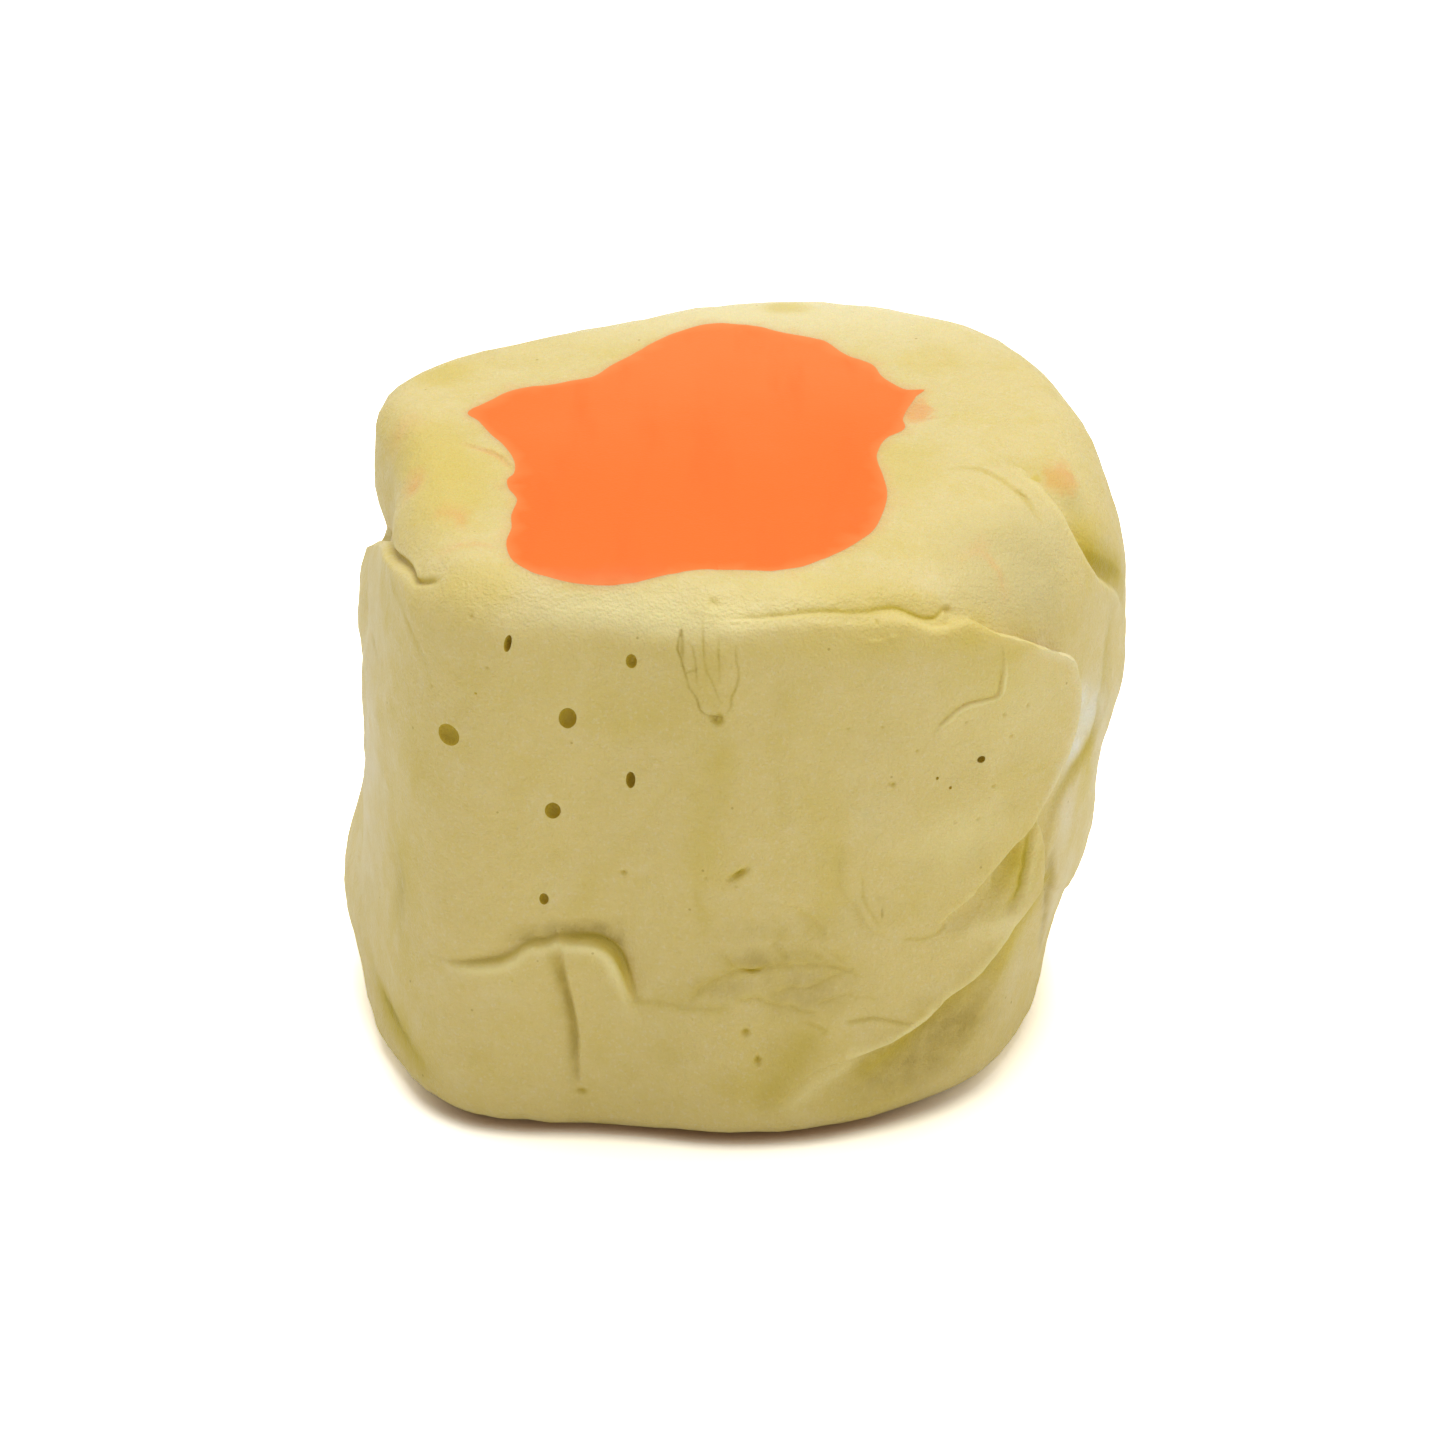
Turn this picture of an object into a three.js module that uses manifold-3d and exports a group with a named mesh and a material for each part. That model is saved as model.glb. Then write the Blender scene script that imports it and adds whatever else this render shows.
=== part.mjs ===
// One cut piece of salt water taffy, standing on its cut end: a pale lime jacket round an orange centre.
// The centre runs through the jacket and shows at both cut ends. The jacket's sheets end in free edges on
// the right, with a torn lip low on the left, and the front has small air holes.
// Millimetres, +Z up, front towards -Y. Angles are degrees round the piece from the front, + towards +X.
import * as THREE from "three";
import { mergeVertices } from "three/addons/utils/BufferGeometryUtils.js";
import Module from "manifold-3d";

// Driving dimensions
const HEIGHT = 17.8;
const RIM_ROUND = 1.4;
const FOOT_ROUND = 0.9;

// How far the side lies from the axis, every 22.5 degrees from the front: at the top, halfway, at the foot
const RIM = [9.9, 9.9, 10.4, 10.6, 10.4, 10.6, 11.3, 11.0, 10.5, 9.8, 10.4, 11.5, 10.3, 10.9, 11.6, 9.9];
const WAIST = [9.9, 10.0, 10.5, 10.7, 10.7, 10.7, 11.1, 11.0, 10.6, 10.3, 10.9, 11.3, 11.1, 11.4, 12.1, 10.0];
const FOOT = [9.8, 9.8, 9.9, 9.2, 9.0, 9.4, 9.8, 9.6, 9.4, 9.4, 10.1, 10.8, 10.8, 11.3, 12.3, 10.0];

// Swellings and hollows of the side: middle angle and height, spread round and up, and how far they stand out
const SWELLINGS = [
  { angle: 101, height: 12.2, round: 22, up: 3.4, proud: 0.85 },
  { angle: -100, height: 3.4, round: 24, up: 2.4, proud: 0.8 },
  { angle: 74, height: 2.6, round: 20, up: 2.6, proud: -0.35 },
  { angle: -84, height: 15.6, round: 16, up: 1.3, proud: -0.3 },
];

// The top falls away to the front right, past a line through (x, y) that is turned from +X
const SHOULDER = { x: 6.4, y: -6.2, turn: 52, slope: 0.62, soft: 1.6 };

// The centre's outline on the top face, in plan, and how far its lower end leans to the front left
const CENTRE_OUTLINE = [
  [-8.0, 2.1], [-7.2, 3.4], [-5.6, 4.0], [-4.0, 4.9], [-1.9, 7.4], [0.0, 8.1], [1.9, 7.4], [3.9, 5.7],
  [4.4, 4.5], [5.5, 3.8], [5.0, 1.6], [4.3, 0.6], [4.2, -2.5], [3.7, -5.3], [1.9, -7.2], [-0.7, -7.4],
  [-3.5, -8.2], [-5.8, -7.5], [-6.6, -6.0], [-6.3, -3.1], [-6.8, -2.0], [-6.5, -0.9], [-7.3, 0.8],
];
const CENTRE_LEAN = { x: -1.2, y: -0.5 };
const LAYER_GAP = 0.3;

// Sheets of the jacket whose free edge shows, as outlines of angle and height. Each stands proud at its free
// edge, and dies into the side over a range of angles and a range of heights
const FRONT_SHEET = {
  proud: 0.7,
  angles: [0, 34],
  heights: [2, 6],
  outline: [
    [-5, 17.25], [7, 17.15], [22, 16.9], [28.5, 16.3], [32, 16.5], [38, 16.4], [46, 15.7], [59, 14.2],
    [64.5, 13.2], [66.3, 12.1], [66, 10.8], [61.5, 9.4], [54.5, 8.4], [47, 7.2], [38.5, 6.6], [30, 6.1],
    [18, 6.6], [2, 9], [-16, 12],
  ],
};
const UNDER_SHEET = {
  proud: 0.45,
  angles: [2, 28],
  heights: [-1, 1],
  outline: [
    [8, 1.1], [13, 2.5], [19.5, 3.2], [28, 3.4], [34.5, 3.8], [40, 4.8], [45.5, 5.1], [52, 5.6], [58, 6.6],
    [62, 8.4], [70, 9.6], [78, 10.8], [78, 12.4], [64, 12.4], [48, 9.5], [32, 7.6], [18, 8], [6, 9.4],
    [-2, 8], [0, 3],
  ],
};
const LOW_LIP = {
  proud: 0.36,
  angles: [-56, -40],
  heights: [-2.5, 5],
  outline: [
    [-46, 5.5], [-41, 5.75], [-38, 5.7], [-34.8, 6.15], [-32.2, 6.6], [-30.5, 6.6], [-29.2, 6.85],
    [-26.5, 6.75], [-23.5, 6.6], [-20.6, 6.1], [-18.4, 4.9], [-20, 2.6], [-24, 0.9], [-36, 0.5],
    [-46, 0.9], [-54, 3.2],
  ],
};

// Where a sheet has died away it lies this far under the side, and its root this much further
const SHEET_SUNK = 0.25;
const SHEET_ROOT = 2.5;

// Slits and grooves: where they run in angle and height, how wide they are at the middle and how deep.
// They narrow towards their ends and towards the bottom
const TOP_CREASE = { wide: 0.28, deep: 0.45, run: [[-4, 17.3], [4, 17.3], [12, 17.25], [22, 17.1]] };
const LEFT_NOTCH = { wide: 0.7, deep: 1.1, run: [[-84, 16.5], [-76, 16.5], [-69, 16.6], [-53, 16.9]] };
const LIP_GROOVE = { wide: 0.36, deep: 0.45, run: [[-28.9, 6.6], [-28, 4.6], [-27.2, 3.0]] };
const RIGHT_GROOVE = { wide: 1.2, deep: 1.1, run: [[82, 17.6], [77, 16.3], [77, 14.8], [84, 12.6]] };
const SHEET_POCKET = { wide: 0.75, deep: 0.7, run: [[60, 8.9], [55, 7.9], [49, 6.9]] };
const GROOVES = [TOP_CREASE, LEFT_NOTCH, LIP_GROOVE, RIGHT_GROOVE, SHEET_POCKET];
const GROOVE_END = 0.12;
const GROOVE_FLOOR = 0.2;

// Air holes: middle angle and height, half the width and height of the mouth, and how proud the side is
const AIR_HOLES = [
  { angle: -44.2, height: 13.0, wide: 0.31, high: 0.33, proud: 0 },
  { angle: -28.0, height: 13.9, wide: 0.25, high: 0.31, proud: 0 },
  { angle: -18.2, height: 15.8, wide: 0.17, high: 0.23, proud: 0 },
  { angle: -36.2, height: 16.2, wide: 0.12, high: 0.24, proud: 0 },
  { angle: -18.2, height: 12.0, wide: 0.14, high: 0.26, proud: 0 },
  { angle: -30.0, height: 10.9, wide: 0.22, high: 0.26, proud: 0 },
  { angle: -31.2, height: 8.0, wide: 0.13, high: 0.19, proud: 0 },
  { angle: 41.5, height: 11.9, wide: 0.15, high: 0.14, proud: 0.7 },
];
const HOLE_DEPTH = 0.5;

// How finely the shapes are divided. A cutting block stands this far out of the side
const ROUND_STEPS = 92;
const FRONT_CROWDING = 0.32;
const SIDE_STEP = 0.8;
const FOOT_RINGS = [0, 0.08, 0.3, 0.65];
const RIM_RINGS = [0.6, 0.28, 0.08, 0];
const END_RINGS = [0.93, 0.84, 0.7, 0.5];
const SHEET_STEPS = 96;
const CENTRE_STEPS = 88;
const GROOVE_STEPS = 10;
const HOLE_STEPS = { round: 10, deep: 7 };
const BLOCK_OUT = 4;

const JACKET_COLOUR = 0xd9c886;
const CENTRE_COLOUR = 0xfb8340;
const ROUGHNESS = 0.5;

const wasm = await Module();
wasm.setup();
const { degToRad, radToDeg, clamp, smoothstep, euclideanModulo } = THREE.MathUtils;

// A smooth closed run through evenly spaced values
function roundValue(values, angle) {
  const place = euclideanModulo(angle / (360 / values.length), values.length);
  const first = Math.floor(place);
  const t = place - first;
  const [a, b, c, d] = [-1, 0, 1, 2].map((k) => values[euclideanModulo(first + k, values.length)]);
  const square = 2 * a - 5 * b + 4 * c - d;
  const cube = 3 * b - a - 3 * c + d;
  return 0.5 * (2 * b + (c - a) * t + square * t ** 2 + cube * t ** 3);
}

// How far the side lies from the axis at an angle and height
function sideRadius(angle, z) {
  const s = clamp(z / HEIGHT, 0, 1);
  const foot = roundValue(FOOT, angle) * (1 - s) * (1 - 2 * s);
  const waist = roundValue(WAIST, angle) * 4 * s * (1 - s);
  const rim = roundValue(RIM, angle) * s * (2 * s - 1);
  const swelling = SWELLINGS.reduce((sum, w) => {
    const turn = euclideanModulo(angle - w.angle + 180, 360) - 180;
    return sum + w.proud * Math.exp(-((turn / w.round) ** 2) - ((z - w.height) / w.up) ** 2);
  }, 0);
  return foot + waist + rim + swelling;
}

// The height of the top face over a point in plan
function topHeight(x, y) {
  const turn = degToRad(SHOULDER.turn);
  const past = (x - SHOULDER.x) * Math.sin(turn) - (y - SHOULDER.y) * Math.cos(turn);
  return HEIGHT - SHOULDER.slope * SHOULDER.soft * Math.log1p(Math.exp(past / SHOULDER.soft));
}

// What a rounded edge takes off the radius, this far from the end of the side
function roundedOff(distance, round) {
  const t = 1 - clamp(distance / round, 0, 1);
  return round * (1 - Math.sqrt(1 - t * t));
}

function outward(angle) {
  const turn = degToRad(angle);
  return new THREE.Vector2(Math.sin(turn), -Math.cos(turn));
}

function sideTop(angle) {
  const rim = outward(angle).multiplyScalar(sideRadius(angle, HEIGHT));
  return topHeight(rim.x, rim.y);
}

// A point of the piece from its angle, its reach from the axis (0 to 1) and its share of the height
function formPoint(angle, reach, share, proud) {
  const z = share * sideTop(angle);
  const edge = roundedOff(sideTop(angle) - z, RIM_ROUND) + roundedOff(z, FOOT_ROUND);
  const place = outward(angle).multiplyScalar((sideRadius(angle, z) - edge + proud(angle, z)) * reach);
  return new THREE.Vector3(place.x, place.y, share === 1 ? topHeight(place.x, place.y) : z);
}

function eachPoint(geometry, move) {
  const position = geometry.getAttribute("position");
  for (let i = 0; i < position.count; i++) {
    const moved = move(new THREE.Vector3().fromBufferAttribute(position, i));
    position.setXYZ(i, moved.x, moved.y, moved.z);
  }
  return geometry;
}

function solidOf(geometry) {
  geometry.deleteAttribute("normal");
  geometry.deleteAttribute("uv");
  const merged = mergeVertices(geometry, 1e-4);
  const triVerts = new Uint32Array(merged.index.array);
  const build = () => new wasm.Manifold(
    new wasm.Mesh({ numProp: 3, vertProperties: merged.attributes.position.array, triVerts }),
  );
  if (build().volume() > 0) return build();
  triVerts.reverse();
  return build();
}

function meshOf(solid, name, color) {
  const { vertProperties, triVerts } = solid.getMesh();
  const geometry = new THREE.BufferGeometry();
  geometry.setAttribute("position", new THREE.BufferAttribute(vertProperties, 3));
  geometry.setIndex(new THREE.BufferAttribute(triVerts, 1));
  geometry.computeVertexNormals();
  const material = new THREE.MeshStandardMaterial({ color, roughness: ROUGHNESS, metalness: 0 });
  const mesh = new THREE.Mesh(geometry, material);
  mesh.name = name;
  return mesh;
}

// Shares of the height for the rings of the side, closer together in its rounded edges
function sideShares() {
  const low = FOOT_ROUND / HEIGHT;
  const high = 1 - RIM_ROUND / HEIGHT;
  const foot = FOOT_RINGS.map((t) => t * low);
  const rim = RIM_RINGS.map((t) => 1 - t * (1 - high));
  const count = Math.round((HEIGHT - FOOT_ROUND - RIM_ROUND) / SIDE_STEP);
  const between = Array.from({ length: count + 1 }, (_, i) => low + ((high - low) * i) / count);
  return [...foot, ...between, ...rim];
}

// The turned blank, bent to the piece's form. proud(angle, z) thickens it
function blank(proud = () => 0) {
  const profile = [
    new THREE.Vector2(0, 0),
    ...[...END_RINGS].reverse().map((reach) => new THREE.Vector2(reach, 0)),
    ...sideShares().map((share) => new THREE.Vector2(1, share)),
    ...END_RINGS.map((reach) => new THREE.Vector2(reach, 1)),
    new THREE.Vector2(0, 1),
  ];
  const geometry = new THREE.LatheGeometry(profile, ROUND_STEPS);
  eachPoint(geometry, ({ x, y, z }) => {
    const even = Math.atan2(x, z);
    const angle = radToDeg(even - FRONT_CROWDING * Math.sin(even));
    return formPoint(angle, Math.hypot(x, z), y, proud);
  });
  return solidOf(geometry);
}

function curveThrough(points, closed = false) {
  const places = points.map(([u, v]) => new THREE.Vector3(u, v, 0));
  return new THREE.CatmullRomCurve3(places, closed, "centripetal");
}

function flat({ x, y }) {
  return new THREE.Vector2(x, y);
}

// A point at an angle and height, `out` from the side
function besideSide(angle, z, out) {
  const place = outward(angle).multiplyScalar(sideRadius(angle, z) + out);
  return new THREE.Vector3(place.x, place.y, z);
}

// A sheet of the jacket, proud of the side at its free edge
function sheet({ proud, angles, heights, outline }) {
  const thick = blank((angle, z) => {
    const whole = smoothstep(angle, ...angles) * smoothstep(z, ...heights);
    return (proud + SHEET_SUNK) * whole - SHEET_SUNK;
  });
  const points = curveThrough(outline, true).getSpacedPoints(SHEET_STEPS).slice(0, -1);
  const depth = SHEET_ROOT + BLOCK_OUT;
  const block = new THREE.ExtrudeGeometry(new THREE.Shape(points.map(flat)), { depth, bevelEnabled: false });
  eachPoint(block, ({ x, y, z }) => besideSide(x, y, z - SHEET_ROOT));
  return thick.intersect(solidOf(block));
}

// A groove's outline: wide in the middle of its run and narrow at its ends, as wide in mm all along
function grooveOutline(line, wide) {
  const places = Array.from({ length: GROOVE_STEPS + 1 }, (_, i) => i / GROOVE_STEPS);
  const side = (half) => places.map((t) => {
    const at = line.getPoint(t);
    const tangent = line.getTangent(t);
    const perDegree = degToRad(sideRadius(at.x, at.y));
    const across = new THREE.Vector2(-tangent.y, tangent.x * perDegree).normalize();
    const reach = half * (GROOVE_END + (1 - GROOVE_END) * Math.sin(Math.PI * t));
    return new THREE.Vector2(at.x + (across.x * reach) / perDegree, at.y + across.y * reach);
  });
  return [...side(wide / 2), ...side(-wide / 2).reverse()];
}

// A groove: a block under its outline, pinched towards the middle of the run at the bottom
function groove({ wide, deep, run }) {
  const line = curveThrough(run);
  const middles = line.getPoints(GROOVE_STEPS * 4);
  const depth = deep + BLOCK_OUT;
  const shape = new THREE.Shape(grooveOutline(line, wide));
  const block = new THREE.ExtrudeGeometry(shape, { depth, bevelEnabled: false });
  eachPoint(block, ({ x, y, z }) => {
    const at = new THREE.Vector3(x, y, 0);
    const middle = middles.reduce((best, m) => (m.distanceTo(at) < best.distanceTo(at) ? m : best));
    if (z < deep) at.lerp(middle, 1 - GROOVE_FLOOR);
    return besideSide(at.x, at.y, z - deep);
  });
  return solidOf(block);
}

// An air hole: a small round cavity, open at the surface
function airHole({ angle, height, wide, high, proud }) {
  const geometry = new THREE.SphereGeometry(1, HOLE_STEPS.round, HOLE_STEPS.deep);
  geometry.scale(wide, HOLE_DEPTH, high);
  geometry.rotateZ(degToRad(angle));
  geometry.translate(...besideSide(angle, height, proud));
  return solidOf(geometry);
}

// The centre, `grown` past its outline in plan, from `below` under the foot to `above` over the top
function centreSolid(grown, below, above) {
  const points = curveThrough(CENTRE_OUTLINE, true).getSpacedPoints(CENTRE_STEPS).slice(0, -1);
  const outline = points.map((p, i) => {
    const before = points.at(i - 1);
    const after = points[(i + 1) % points.length];
    const across = new THREE.Vector2(before.y - after.y, after.x - before.x).normalize();
    return flat(p).addScaledVector(across, grown);
  });
  const geometry = new THREE.ExtrudeGeometry(new THREE.Shape(outline), { depth: 1, bevelEnabled: false });
  eachPoint(geometry, (p) => {
    const z = p.z === 0 ? -below : topHeight(p.x, p.y) + above;
    const lean = 1 - z / HEIGHT;
    return new THREE.Vector3(p.x + CENTRE_LEAN.x * lean, p.y + CENTRE_LEAN.y * lean, z);
  });
  return solidOf(geometry);
}

function jacketSolid() {
  let jacket = blank();
  for (const layer of [UNDER_SHEET, FRONT_SHEET, LOW_LIP]) jacket = jacket.add(sheet(layer));
  for (const cut of GROOVES) jacket = jacket.subtract(groove(cut));
  for (const hole of AIR_HOLES) jacket = jacket.subtract(airHole(hole));
  return jacket.subtract(centreSolid(LAYER_GAP / 2, BLOCK_OUT, BLOCK_OUT));
}

const jacket = meshOf(jacketSolid(), "jacket", JACKET_COLOUR);
const centre = meshOf(centreSolid(-LAYER_GAP / 2, 0, 0), "centre", CENTRE_COLOUR);

const taffy = new THREE.Group();
taffy.add(jacket, centre);

// The frame's origin is at the middle of the foot of the whole piece
const middle = new THREE.Box3().setFromObject(taffy, true).getCenter(new THREE.Vector3());
for (const mesh of taffy.children) mesh.position.set(-middle.x, -middle.y, 0);

export default taffy;
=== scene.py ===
import math
import bmesh
import bpy
import numpy as np
from mathutils import Matrix, Vector


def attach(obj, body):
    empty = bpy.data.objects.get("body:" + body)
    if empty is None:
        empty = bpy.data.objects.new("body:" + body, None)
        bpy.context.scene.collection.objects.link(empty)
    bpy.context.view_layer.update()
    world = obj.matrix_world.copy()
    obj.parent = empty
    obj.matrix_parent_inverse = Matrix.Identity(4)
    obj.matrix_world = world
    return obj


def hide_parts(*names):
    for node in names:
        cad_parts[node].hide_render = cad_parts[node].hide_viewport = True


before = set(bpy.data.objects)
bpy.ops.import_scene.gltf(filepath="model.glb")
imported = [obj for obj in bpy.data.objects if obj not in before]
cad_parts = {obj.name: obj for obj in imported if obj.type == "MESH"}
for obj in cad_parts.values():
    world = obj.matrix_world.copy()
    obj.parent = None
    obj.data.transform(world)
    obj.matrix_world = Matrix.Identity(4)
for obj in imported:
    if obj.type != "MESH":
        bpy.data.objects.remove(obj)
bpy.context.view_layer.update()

# Salt water taffy: one cut piece on its end, a pale lime jacket of wrapped sheets round an orange centre.
# Everything is modelled in millimetres and scaled to metres when it is finished.
# Angles are degrees round the piece from the front (-Y), positive towards the right (+X).
mm = 0.001

form = {
    "height": 17.8,
    # how round the rim is, every 22.5 degrees
    "rimRound": [2.1, 1.6, 1.4, 1.4, 1.4, 1.4, 1.4, 1.4, 1.4, 1.4, 1.2, 1.1, 1.4, 1.75, 2.1, 2.25],
    "footRound": 0.9,
    # how far the side lies from the axis, every 22.5 degrees from the front: at the top, halfway, at the foot
    "rim": [9.9, 9.9, 10.4, 10.6, 10.5, 10.8, 11.45, 11.1, 10.5, 9.8, 10.45, 11.4, 10.05, 10.7, 11.6, 9.9],
    "waist": [9.9, 10.0, 10.5, 10.7, 10.7, 10.7, 11.1, 11.0, 10.6, 10.3, 10.9, 11.2, 10.95, 11.3, 12.1, 10.0],
    "foot": [9.78, 9.7, 9.65, 9.3, 9.1, 9.4, 9.8, 9.6, 9.4, 9.4, 10.1, 10.8, 10.9, 11.4, 11.8, 9.95],
    # swellings of the side: angle, height, spread round, spread up, how proud
    "swellings": [
        (101, 12.3, 22, 3.2, 0.66),
        (88, 14.8, 12, 1.5, 0.22),
        (97, 7.5, 22, 1.2, -0.2),
        (100, 8.8, 20, 0.85, -0.3),
        (96, 5.8, 20, 1.9, 0.15),
        (-100, 3.2, 24, 2.2, 0.8),
        (74, 2.6, 20, 2.6, -0.35),
        (-84, 15.6, 16, 1.3, -0.3),
        (-102, 13.9, 13, 0.8, -0.45),
        (-105, 15.5, 13, 0.9, 0.05),
    ],
    # the top falls away to the front right past a line through (x, y), turned from +X
    "shoulder": {"x": 6.4, "y": -6.2, "turn": 52, "slope": 0.62, "soft": 1.6},
    # where the middle of the whole piece lies from the axis
    "middle": (-0.097, 0.436),
}
perDegree = math.radians(1) * 10.5  # mm along the side for one degree
sideStart = 7  # mm from the axis: nothing nearer to it is side


# On the smooth curve through four values, the share t of the way from the second to the third
def between(a, b, c, d, t):
    square = 2 * a - 5 * b + 4 * c - d
    cube = 3 * b - a - 3 * c + d
    return 0.5 * (2 * b + (c - a) * t + square * t**2 + cube * t**3)


# A value at an angle, from values spaced evenly round the piece
def roundValue(values, angle):
    values = np.asarray(values, float)
    place = (np.asarray(angle) / (360 / len(values))) % len(values)
    first = np.floor(place).astype(int)
    t = place - first
    return between(*(values[(first + k) % len(values)] for k in (-1, 0, 1, 2)), t)


def sideRadius(angle, z):
    share = np.clip(z / form["height"], 0, 1)
    radius = roundValue(form["foot"], angle) * (1 - share) * (1 - 2 * share)
    radius = radius + roundValue(form["waist"], angle) * 4 * share * (1 - share)
    radius = radius + roundValue(form["rim"], angle) * share * (2 * share - 1)
    for middle, height, spreadRound, spreadUp, proud in form["swellings"]:
        turn = (angle - middle + 180) % 360 - 180
        radius = radius + proud * np.exp(-((turn / spreadRound) ** 2) - ((z - height) / spreadUp) ** 2)
    return radius


def topHeight(x, y):
    shoulder = form["shoulder"]
    turn = math.radians(shoulder["turn"])
    past = (x - shoulder["x"]) * math.sin(turn) - (y - shoulder["y"]) * math.cos(turn)
    return form["height"] - shoulder["slope"] * shoulder["soft"] * np.logaddexp(0, past / shoulder["soft"])


def roundedOff(distance, round):
    t = 1 - np.clip(distance / round, 0, 1)
    return round * (1 - np.sqrt(1 - t * t))


def smoothStep(x, low, high):
    t = np.clip((x - low) / (high - low), 0, 1)
    return t * t * (3 - 2 * t)


# A point of the side at an angle and height, `out` from its surface
def besideSide(angle, z, out):
    turn = np.radians(angle)
    side = sideRadius(angle, z)
    rimRound = roundValue(form["rimRound"], angle)
    radius = side
    for _ in range(8):
        below = topHeight(radius * np.sin(turn), -radius * np.cos(turn)) - z
        radius = (radius + side - roundedOff(below, rimRound)) / 2
    radius = radius - roundedOff(z, form["footRound"]) + out
    return np.stack([radius * np.sin(turn), -radius * np.cos(turn), z + 0 * angle], -1)


# A smooth run through points, open or closed
def smoothRun(points, steps, closed=False):
    points = np.asarray(points, float)
    if closed:
        padded = np.concatenate([points[-1:], points, points[:2]])
    else:
        padded = np.concatenate([2 * points[:1] - points[1:2], points, 2 * points[-1:] - points[-2:-1]])
    run = []
    for four in zip(padded, padded[1:], padded[2:], padded[3:]):
        for t in np.arange(steps) / steps:
            run.append(between(*four, t))
    if not closed:
        run.append(points[-1])
    return np.array(run)


# How far points lie from a polyline, how far along it the nearest place is, and on which side they lie
def toRun(points, run, normals=None):
    best = np.full(len(points), 1e9)
    along = np.zeros(len(points))
    side = np.zeros(len(points))
    for i, (a, b) in enumerate(zip(run, run[1:])):
        line = b - a
        t = np.clip(((points - a) @ line) / max(line @ line, 1e-9), 0, 1)
        distance = np.linalg.norm(points - a - t[:, None] * line, axis=1)
        nearer = distance < best
        best[nearer] = distance[nearer]
        along[nearer] = (i + t[nearer]) / (len(run) - 1)
        if len(line) == 2:
            side[nearer] = np.sign((points - a) @ [-line[1], line[0]])[nearer]
        elif normals is not None:
            side[nearer] = np.sign(((points - a) * np.cross(normals, line)).sum(1))[nearer]
    return best, along, side


def workOn(*pieces):
    bpy.ops.object.select_all(action="DESELECT")
    for piece in pieces:
        piece.select_set(True)
    bpy.context.view_layer.objects.active = pieces[0]


def getPoints(piece):
    points = np.empty(len(piece.data.vertices) * 3)
    piece.data.vertices.foreach_get("co", points)
    return points.reshape(-1, 3)


def setPoints(piece, points):
    piece.data.vertices.foreach_set("co", np.ascontiguousarray(points, float).ravel())
    piece.data.update()


def selectWhere(piece, kind, test):
    mesh = bmesh.from_edit_mesh(piece.data)
    bpy.ops.mesh.select_all(action="DESELECT")
    bpy.context.tool_settings.mesh_select_mode = (kind == "verts", kind == "edges", kind == "faces")
    for element in getattr(mesh, kind):
        element.select_set(test(element))
    mesh.select_flush_mode()
    bmesh.update_edit_mesh(piece.data)


# Turns the faces being edited outwards, and ends the editing
def faceOutwards():
    bpy.ops.mesh.select_all(action="SELECT")
    bpy.ops.mesh.normals_make_consistent(inside=False)
    bpy.ops.object.mode_set(mode="OBJECT")


def useModifier(piece, kind, **settings):
    workOn(piece)
    modifier = piece.modifiers.new(kind.title(), kind)
    for name, value in settings.items():
        setattr(modifier, name, value)
    bpy.ops.object.modifier_apply(modifier=modifier.name)


blankCuts = {"round": 400, "rows": 150, "capRings": 24}


# The whole piece before its sheets: a cylinder cut into fine rows and rings and bent to the form
def addBlank():
    bpy.ops.object.select_all(action="DESELECT")
    bpy.ops.mesh.primitive_cylinder_add(vertices=blankCuts["round"], radius=1, depth=1, location=(0, 0, 0.5))
    blank = bpy.context.object
    blank.name = "blank"
    bpy.ops.object.transform_apply(location=True)
    bpy.ops.object.mode_set(mode="EDIT")
    selectWhere(blank, "edges", lambda e: abs(e.verts[0].co.z - e.verts[1].co.z) > 0.5)
    bpy.ops.mesh.subdivide(number_cuts=blankCuts["rows"])
    for end in (0, 1):
        selectWhere(blank, "faces", lambda f: len(f.verts) > 4 and abs(f.calc_center_median().z - end) < 0.01)
        for _ in range(blankCuts["capRings"]):
            bpy.ops.mesh.inset(thickness=1 / (blankCuts["capRings"] + 1))
        bpy.ops.mesh.poke()
    bpy.ops.object.mode_set(mode="OBJECT")
    unit = getPoints(blank)
    angle = np.degrees(np.arctan2(unit[:, 0], -unit[:, 1]))
    reach = np.clip(np.hypot(unit[:, 0], unit[:, 1]), 0, 1)
    share = (1 - np.cos(np.pi * unit[:, 2])) / 2
    z = share * form["height"]
    for _ in range(8):
        side = besideSide(angle, z, 0)
        z = share * topHeight(side[:, 0], side[:, 1])
    points = np.stack([side[:, 0] * reach, side[:, 1] * reach, z], -1)
    onTop = unit[:, 2] > 0.999
    points[onTop, 2] = topHeight(points[onTop, 0], points[onTop, 1])
    setPoints(blank, points)
    return blank


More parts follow.
